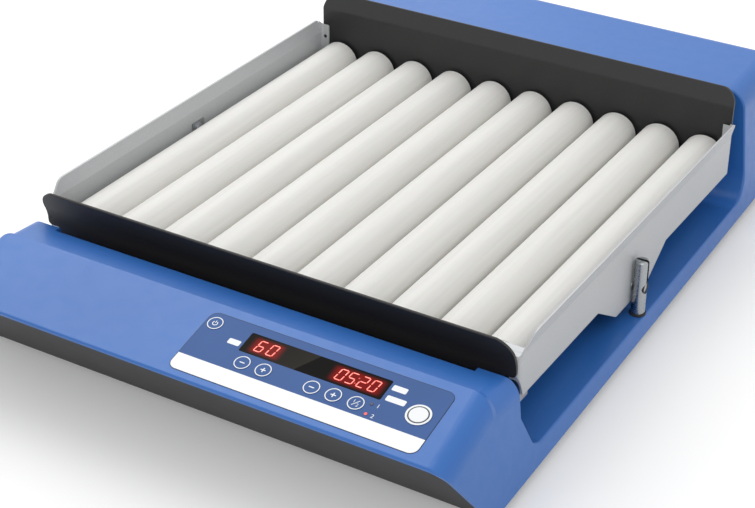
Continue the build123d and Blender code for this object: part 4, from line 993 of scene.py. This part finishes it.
@dataclass
class ControlPanel:
    """Foil, window, display, lights and keys on the slope, in mm and radians.

    Attributes:
        foil_top_mm: height of the foil's and the window's skin above the slope.
        key_top_mm: height of a key's cap above the slope.
        sink_mm: how far a print reaches into the skin below it.
        key_film_mm: thickness of the print on a key.
        film_mm: thickness of the print on the foil and of a lit stroke.
        line_mm: width of a key's ring.
        start_rings: rings of the start key: inset from the cap's edge, width and ink.
        start_disc: the start key's disc: inset from the cap's edge and height.
        power_arc: the power sign's arc: place below the key's middle, radius, width, half of its opening.
        bars: other bars of each mark: place below the key's middle, size and turn.
        key_figures: numbers on the mode key: text and place from the key's middle.
        figure_mm: height of a number's line on the key and on the foil.
        digit_size_mm: width and height of a digit.
        digit_lean: lean of the digits to the right.
        stroke_gap_mm: how much shorter a stroke is than its side of the digit.
        stroke_point: how far its corners are cut back, as a share of its width.
        core_mm: width of the paler line in a stroke.
        core_short_mm: how much shorter that line is than its stroke.
        core_film_mm: its thickness and its height above the stroke's underside.
        lit_strokes: strokes of each digit: a on top, clockwise to f, and g in the middle.
        colon: the two dots: place across, places below the digits' middle, radius.
        labels: empty label boxes: place across, place down and width.
        label_mm: height of a label box and radius of its corners.
        status_lights: place and finish of each status light's lens.
        lens: radius, height at the rim and height in the middle of a lens.
    """

    frame: dict[str, Any]
    foil_top_mm: float = 0.2
    key_top_mm: float = 0.5
    sink_mm: float = 0.02
    key_film_mm: float = 0.07
    film_mm: float = 0.05
    line_mm: float = 0.62
    keys: tuple[Key, ...] = (
        Key("key_power", 0.7, 16.2, 5.2, Glyph.POWER),
        Key("key_speed_minus", 35.4, 38.0, 5.25, Glyph.MINUS),
        Key("key_speed_plus", 50.7, 38.0, 5.25, Glyph.PLUS),
        Key("key_time_minus", 85.1, 38.0, 5.25, Glyph.MINUS),
        Key("key_time_plus", 100.3, 38.0, 5.25, Glyph.PLUS),
        Key("key_mode", 115.8, 38.0, 5.25, Glyph.CHANGE),
        Key("key_start_stop", 154.1, 31.0, 8.0, Glyph.START),
    )
    start_rings: tuple[Any, ...] = ((0.0, 1.35, INK_WHITE), (1.3, 0.95, INK_DARK))
    start_disc: Pair = (2.2, 0.3)
    power_arc: tuple[float, ...] = (0.1, 1.9, 0.55, 0.7)
    bars: dict[Glyph, Any] = field(
        default_factory=lambda: {
            Glyph.MINUS: [(0.0, (3.6, 0.75), 0.0)],
            Glyph.PLUS: [(0.0, (3.6, 0.75), 0.0), (-1.09, (0.75, 1.43), 0.0), (1.09, (0.75, 1.43), 0.0)],
            Glyph.CHANGE: [(0.0, (0.45, 6.0), math.radians(-38))],
            Glyph.POWER: [(-1.2, (0.55, 1.9), 0.0)],
            Glyph.START: [],
        }
    )
    key_figures: Texts = (("1", (-1.5, -1.2)), ("2", (1.6, 1.3)))
    foil_figures: Texts = (("1", (129.2, 34.7)), ("2", (129.9, 42.9)))
    figure_mm: Pair = (3.3, 4.2)
    digit_size_mm: Pair = (5.6, 9.8)
    digit_down_mm: float = 21.7
    digit_lean: float = math.radians(8)
    stroke_mm: float = 1.0
    stroke_gap_mm: float = 0.3
    stroke_point: float = 0.45
    core_mm: float = 0.42
    core_short_mm: float = 0.5
    core_film_mm: float = 0.04
    lit_strokes: Texts = (("0", "abcdef"), ("2", "abged"), ("5", "afgcd"), ("6", "afgedc"))
    speed_digits: Texts = (("6", 38.4), ("0", 47.0))
    time_digits: Texts = (("0", 96.1), ("5", 103.3), ("2", 111.2), ("0", 118.9))
    colon: tuple[float, Pair, float] = (107.2, (-1.8, 2.6), 0.55)
    labels: tuple[Triple, ...] = ((20.9, 25.1, 8.6), (134.2, 17.9, 9.8), (136.4, 26.6, 13.0))
    label_mm: Pair = (4.4, 0.9)
    status_lights: tuple[tuple[Pair, Finish], ...] = (((124.8, 34.7), LED_DARK), ((125.4, 42.9), LED_RED))
    lens: Triple = (1.1, 0.1, 0.25)

    def build(self) -> None:
        """Dresses the panel's nodes and builds its marks."""
        finishes = {
            FOIL_BLUE: ["control_foil"],
            PANE_SMOKED: ["display_window"],
            BLACK_NYLON: ["display_modules"],
            LED_DARK: ["status_leds"],
            BOARD_GREEN: ["control_board"],
            KEY_BLUE: [key.name for key in self.keys],
        }
        dress(self.frame, finishes)
        for key in self.keys:
            self.mark_key(key)
        self.print_foil()
        self.light_number("display_number_left", self.speed_digits)
        self.light_number("display_number_right", self.time_digits, colon=True)
        self.light_status()

    def mark_key(self, key: Key) -> None:
        """Prints the ring and the mark on one key.

        Args:
            key: the key.
        """
        floor = self.key_top_mm - self.sink_mm
        marks = Marking(f"{key.name}_print", key.name, "key_plastic", floor, self.key_film_mm)
        if key.glyph is Glyph.START:
            for inset, width, ink in self.start_rings:
                marks.ring(key.spot(), key.radius - inset, width, ink)
            inset, height = self.start_disc
            marks.disc(key.spot(), key.radius - inset, INK_WHITE, height)
        else:
            marks.ring(key.spot(), key.radius, self.line_mm, INK_WHITE)
        if key.glyph is Glyph.POWER:
            below, radius, width, gap = self.power_arc
            marks.ring(key.spot(below=below), radius, width, INK_WHITE, gap)
        for below, size, turn in self.bars[key.glyph]:
            marks.bar(key.spot(below=below), size, INK_WHITE, turn=turn)
        if key.glyph is Glyph.CHANGE:
            for body, offset in self.key_figures:
                marks.figure(body, key.spot(*offset), self.figure_mm[0], INK_WHITE)
        marks.finish()

    def print_foil(self) -> None:
        """Prints the empty label boxes and the plain numbers on the foil."""
        marks = Marking("foil_print", "housing", "key_plastic", self.foil_top_mm - self.sink_mm, self.film_mm)
        height, corner = self.label_mm
        for x, down, width in self.labels:
            marks.bar((x, down), (width, height), INK_WHITE, corner)
        for body, place in self.foil_figures:
            marks.figure(body, place, self.figure_mm[1], INK_WHITE)
        marks.finish()

    def strokes(self, digit: str) -> Iterable[tuple[float, float, float, float]]:
        """Lists the strokes of a seven-segment digit.

        Args:
            digit: the digit.

        Returns:
            Place across, place up, width and height of each stroke, from the digit's middle.
        """
        wide, tall = self.digit_size_mm
        line = self.stroke_mm
        flat, upright = wide - line - self.stroke_gap_mm, tall / 2 - line / 2 - self.stroke_gap_mm
        side, top, shoulder = (wide - line) / 2, tall / 2 - line / 2, tall / 4 - line / 8
        layout = {
            "a": (0.0, top, flat, line),
            "b": (side, shoulder, line, upright),
            "c": (side, -shoulder, line, upright),
            "d": (0.0, -top, flat, line),
            "e": (-side, -shoulder, line, upright),
            "f": (-side, shoulder, line, upright),
            "g": (0.0, 0.0, flat, line),
        }
        return [layout[letter] for letter in dict(self.lit_strokes)[digit]]

    def light_number(self, name: str, digits: Texts, colon: bool = False) -> None:
        """Lights one number of the display: red strokes, and a paler line in the middle of each.

        Args:
            name: name of the piece.
            digits: each digit with its place across.
            colon: whether it has the two dots.
        """
        number = Marking(name, "housing", "led_lens", self.foil_top_mm, self.film_mm)
        core_floor = self.foil_top_mm + self.core_film_mm
        core = Marking(f"{name}_core", "housing", "led_lens", core_floor, self.core_film_mm)
        point = self.stroke_mm * self.stroke_point
        for digit, x in digits:
            for right, up, width, height in self.strokes(digit):
                place = (x + right, self.digit_down_mm - up)
                number.bar(place, (width, height), LIT_RED, point, segments=1)
                if height > width:
                    thin = (self.core_mm, height - self.core_short_mm)
                else:
                    thin = (width - self.core_short_mm, self.core_mm)
                core.bar(place, thin, LIT_CORE)
        if colon:
            x, offsets, radius = self.colon
            for below in offsets:
                number.disc((x, self.digit_down_mm + below), radius, LIT_RED)
        for layer in (number, core):
            layer.finish(math.tan(self.digit_lean))

    def light_status(self) -> None:
        """Puts a domed lens on each status light, of which the lower one is lit."""
        radius, rim, middle = self.lens
        lenses = Marking("status_lenses", "housing", "led_lens", self.foil_top_mm, rim)
        for place, finish in self.status_lights:
            lenses.disc(place, radius, finish, middle)
        lenses.finish()


@dataclass
class RollerTray:
    """Rocking tray: sheet parts, rollers and the drive below them."""

    frame: dict[str, Any]
    roller_count: int = 10

    def build(self) -> None:
        """Dresses the tray's nodes."""
        numbers = range(1, self.roller_count + 1)
        finishes = {
            FRONT_BLACK: ["front_plate", "plate_rivets"],
            REAR_BLACK: ["rear_plate"],
            SIDE_SILVER: ["side_plate_left", "side_plate_right"],
            PAN_STEEL: ["bearing_plate", "drip_pan"],
            SCREW_STEEL: ["pan_nuts", "pivot_pins", "motor_screws", "crank_bearing", "rocker_crank"],
            POST_STEEL: ["drive_shaft"],
            MOTOR_METAL: ["gear_motor"],
            BELT_RUBBER: ["roller_belts"],
            BLACK_NYLON: ["roller_bushes"] + [f"roller_ends_{number:02d}" for number in numbers],
            TUBE_WHITE: [f"roller_tube_{number:02d}" for number in numbers],
        }
        dress(self.frame, finishes)


@dataclass
class Studio:
    """White sweep, soft lamps and the camera of the photograph.

    Attributes:
        heading: turn of the view from +Y towards -X, in radians, as dip and roll are.
        dip: how far the view points down.
        shift: framing of the photograph, in sensor widths.
        sight_m: distance to which the camera sees.
        lamps: square lamps that look at the object: name, place and side in metres, power in watts.
    """

    camera_mm: Triple = (558.96, -977.11, 670.99)
    heading: float = 0.5109
    dip: float = 0.5192
    roll: float = 0.0216
    lens_mm: float = 84.35
    sensor_mm: float = 36.0
    shift: Pair = (-0.0528, -0.0300)
    sight_m: float = 20.0
    room_level: float = 0.7
    backdrop_level: float = 1.0
    floor_m: float = 12.0
    lamps: tuple[tuple[str, Triple, float, float], ...] = (
        ("soft_box_above", (-0.9, 0.7, 1.5), 1.6, 17.0),
        ("soft_box_front", (0.9, -1.6, 1.2), 1.4, 5.0),
    )

    def build(self) -> None:
        """Builds the room in order."""
        self.set_world()
        self.lay_floor()
        self.hang_lamps()
        self.place_camera()
        bpy.context.scene.view_settings.view_transform = "Standard"

    def set_world(self) -> None:
        """Fills the room with even light and shows a white backdrop to camera, gloss and glass."""
        world = bpy.data.worlds.new("white_room")
        bpy.context.scene.world = world
        world.use_nodes = True
        graph = Graph(world.node_tree)
        graph.tree.nodes.clear()
        seen = graph.seen_by((*DIRECT_RAYS, "Is Transmission Ray"))
        fill, white = (
            graph.add("ShaderNodeBackground", {"Color": grey(1.0), "Strength": level}).outputs[0]
            for level in (self.room_level, self.backdrop_level)
        )
        mixed = graph.add("ShaderNodeMixShader", {0: seen, 1: fill, 2: white})
        graph.add("ShaderNodeOutputWorld", {"Surface": mixed.outputs[0]})

    def lay_floor(self) -> None:
        """Lays a pale floor that runs far past the view."""
        nothing_selected()
        bpy.ops.mesh.primitive_plane_add(size=self.floor_m)
        floor = bpy.context.object
        floor.name = "floor"
        floor.data.materials.append(FLOOR_CARD.material())

    def hang_lamps(self) -> None:
        """Hangs a large soft lamp above and behind the object, and a weak one in front."""
        for name, place, side, power in self.lamps:
            data = bpy.data.lights.new(name, "AREA")
            data.size = side
            data.energy = power
            lamp = bpy.data.objects.new(name, data)
            lamp.location = place
            lamp.rotation_euler = (-Vector(place)).to_track_quat("-Z", "Y").to_euler()
            bpy.context.scene.collection.objects.link(lamp)

    def place_camera(self) -> None:
        """Places the camera at the photograph's angle."""
        data = bpy.data.cameras.new("photo_camera")
        data.lens = self.lens_mm
        data.sensor_width = self.sensor_mm
        data.shift_x, data.shift_y = self.shift
        data.clip_end = self.sight_m
        camera = bpy.data.objects.new("photo_camera", data)
        level = math.cos(self.dip)
        ahead = Vector((-math.sin(self.heading) * level, math.cos(self.heading) * level, -math.sin(self.dip)))
        right = Vector((math.cos(self.heading), math.sin(self.heading), 0.0))
        up = right.cross(ahead)
        tilted_right = math.cos(self.roll) * right + math.sin(self.roll) * up
        tilted_up = math.cos(self.roll) * up - math.sin(self.roll) * right
        turn = Matrix((tilted_right, tilted_up, -ahead)).transposed()
        camera.matrix_world = Matrix.Translation(Vector(self.camera_mm) * MM) @ turn.to_4x4()
        bpy.context.scene.collection.objects.link(camera)
        bpy.context.scene.camera = camera


def main() -> None:
    """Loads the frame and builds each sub-assembly in order."""
    logging.basicConfig(level=logging.INFO, format="%(name)s %(message)s")
    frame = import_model()
    nothing_selected()
    Housing(frame).build()
    ControlPanel(frame).build()
    RollerTray(frame).build()
    Studio().build()


if __name__ == "__main__":
    main()
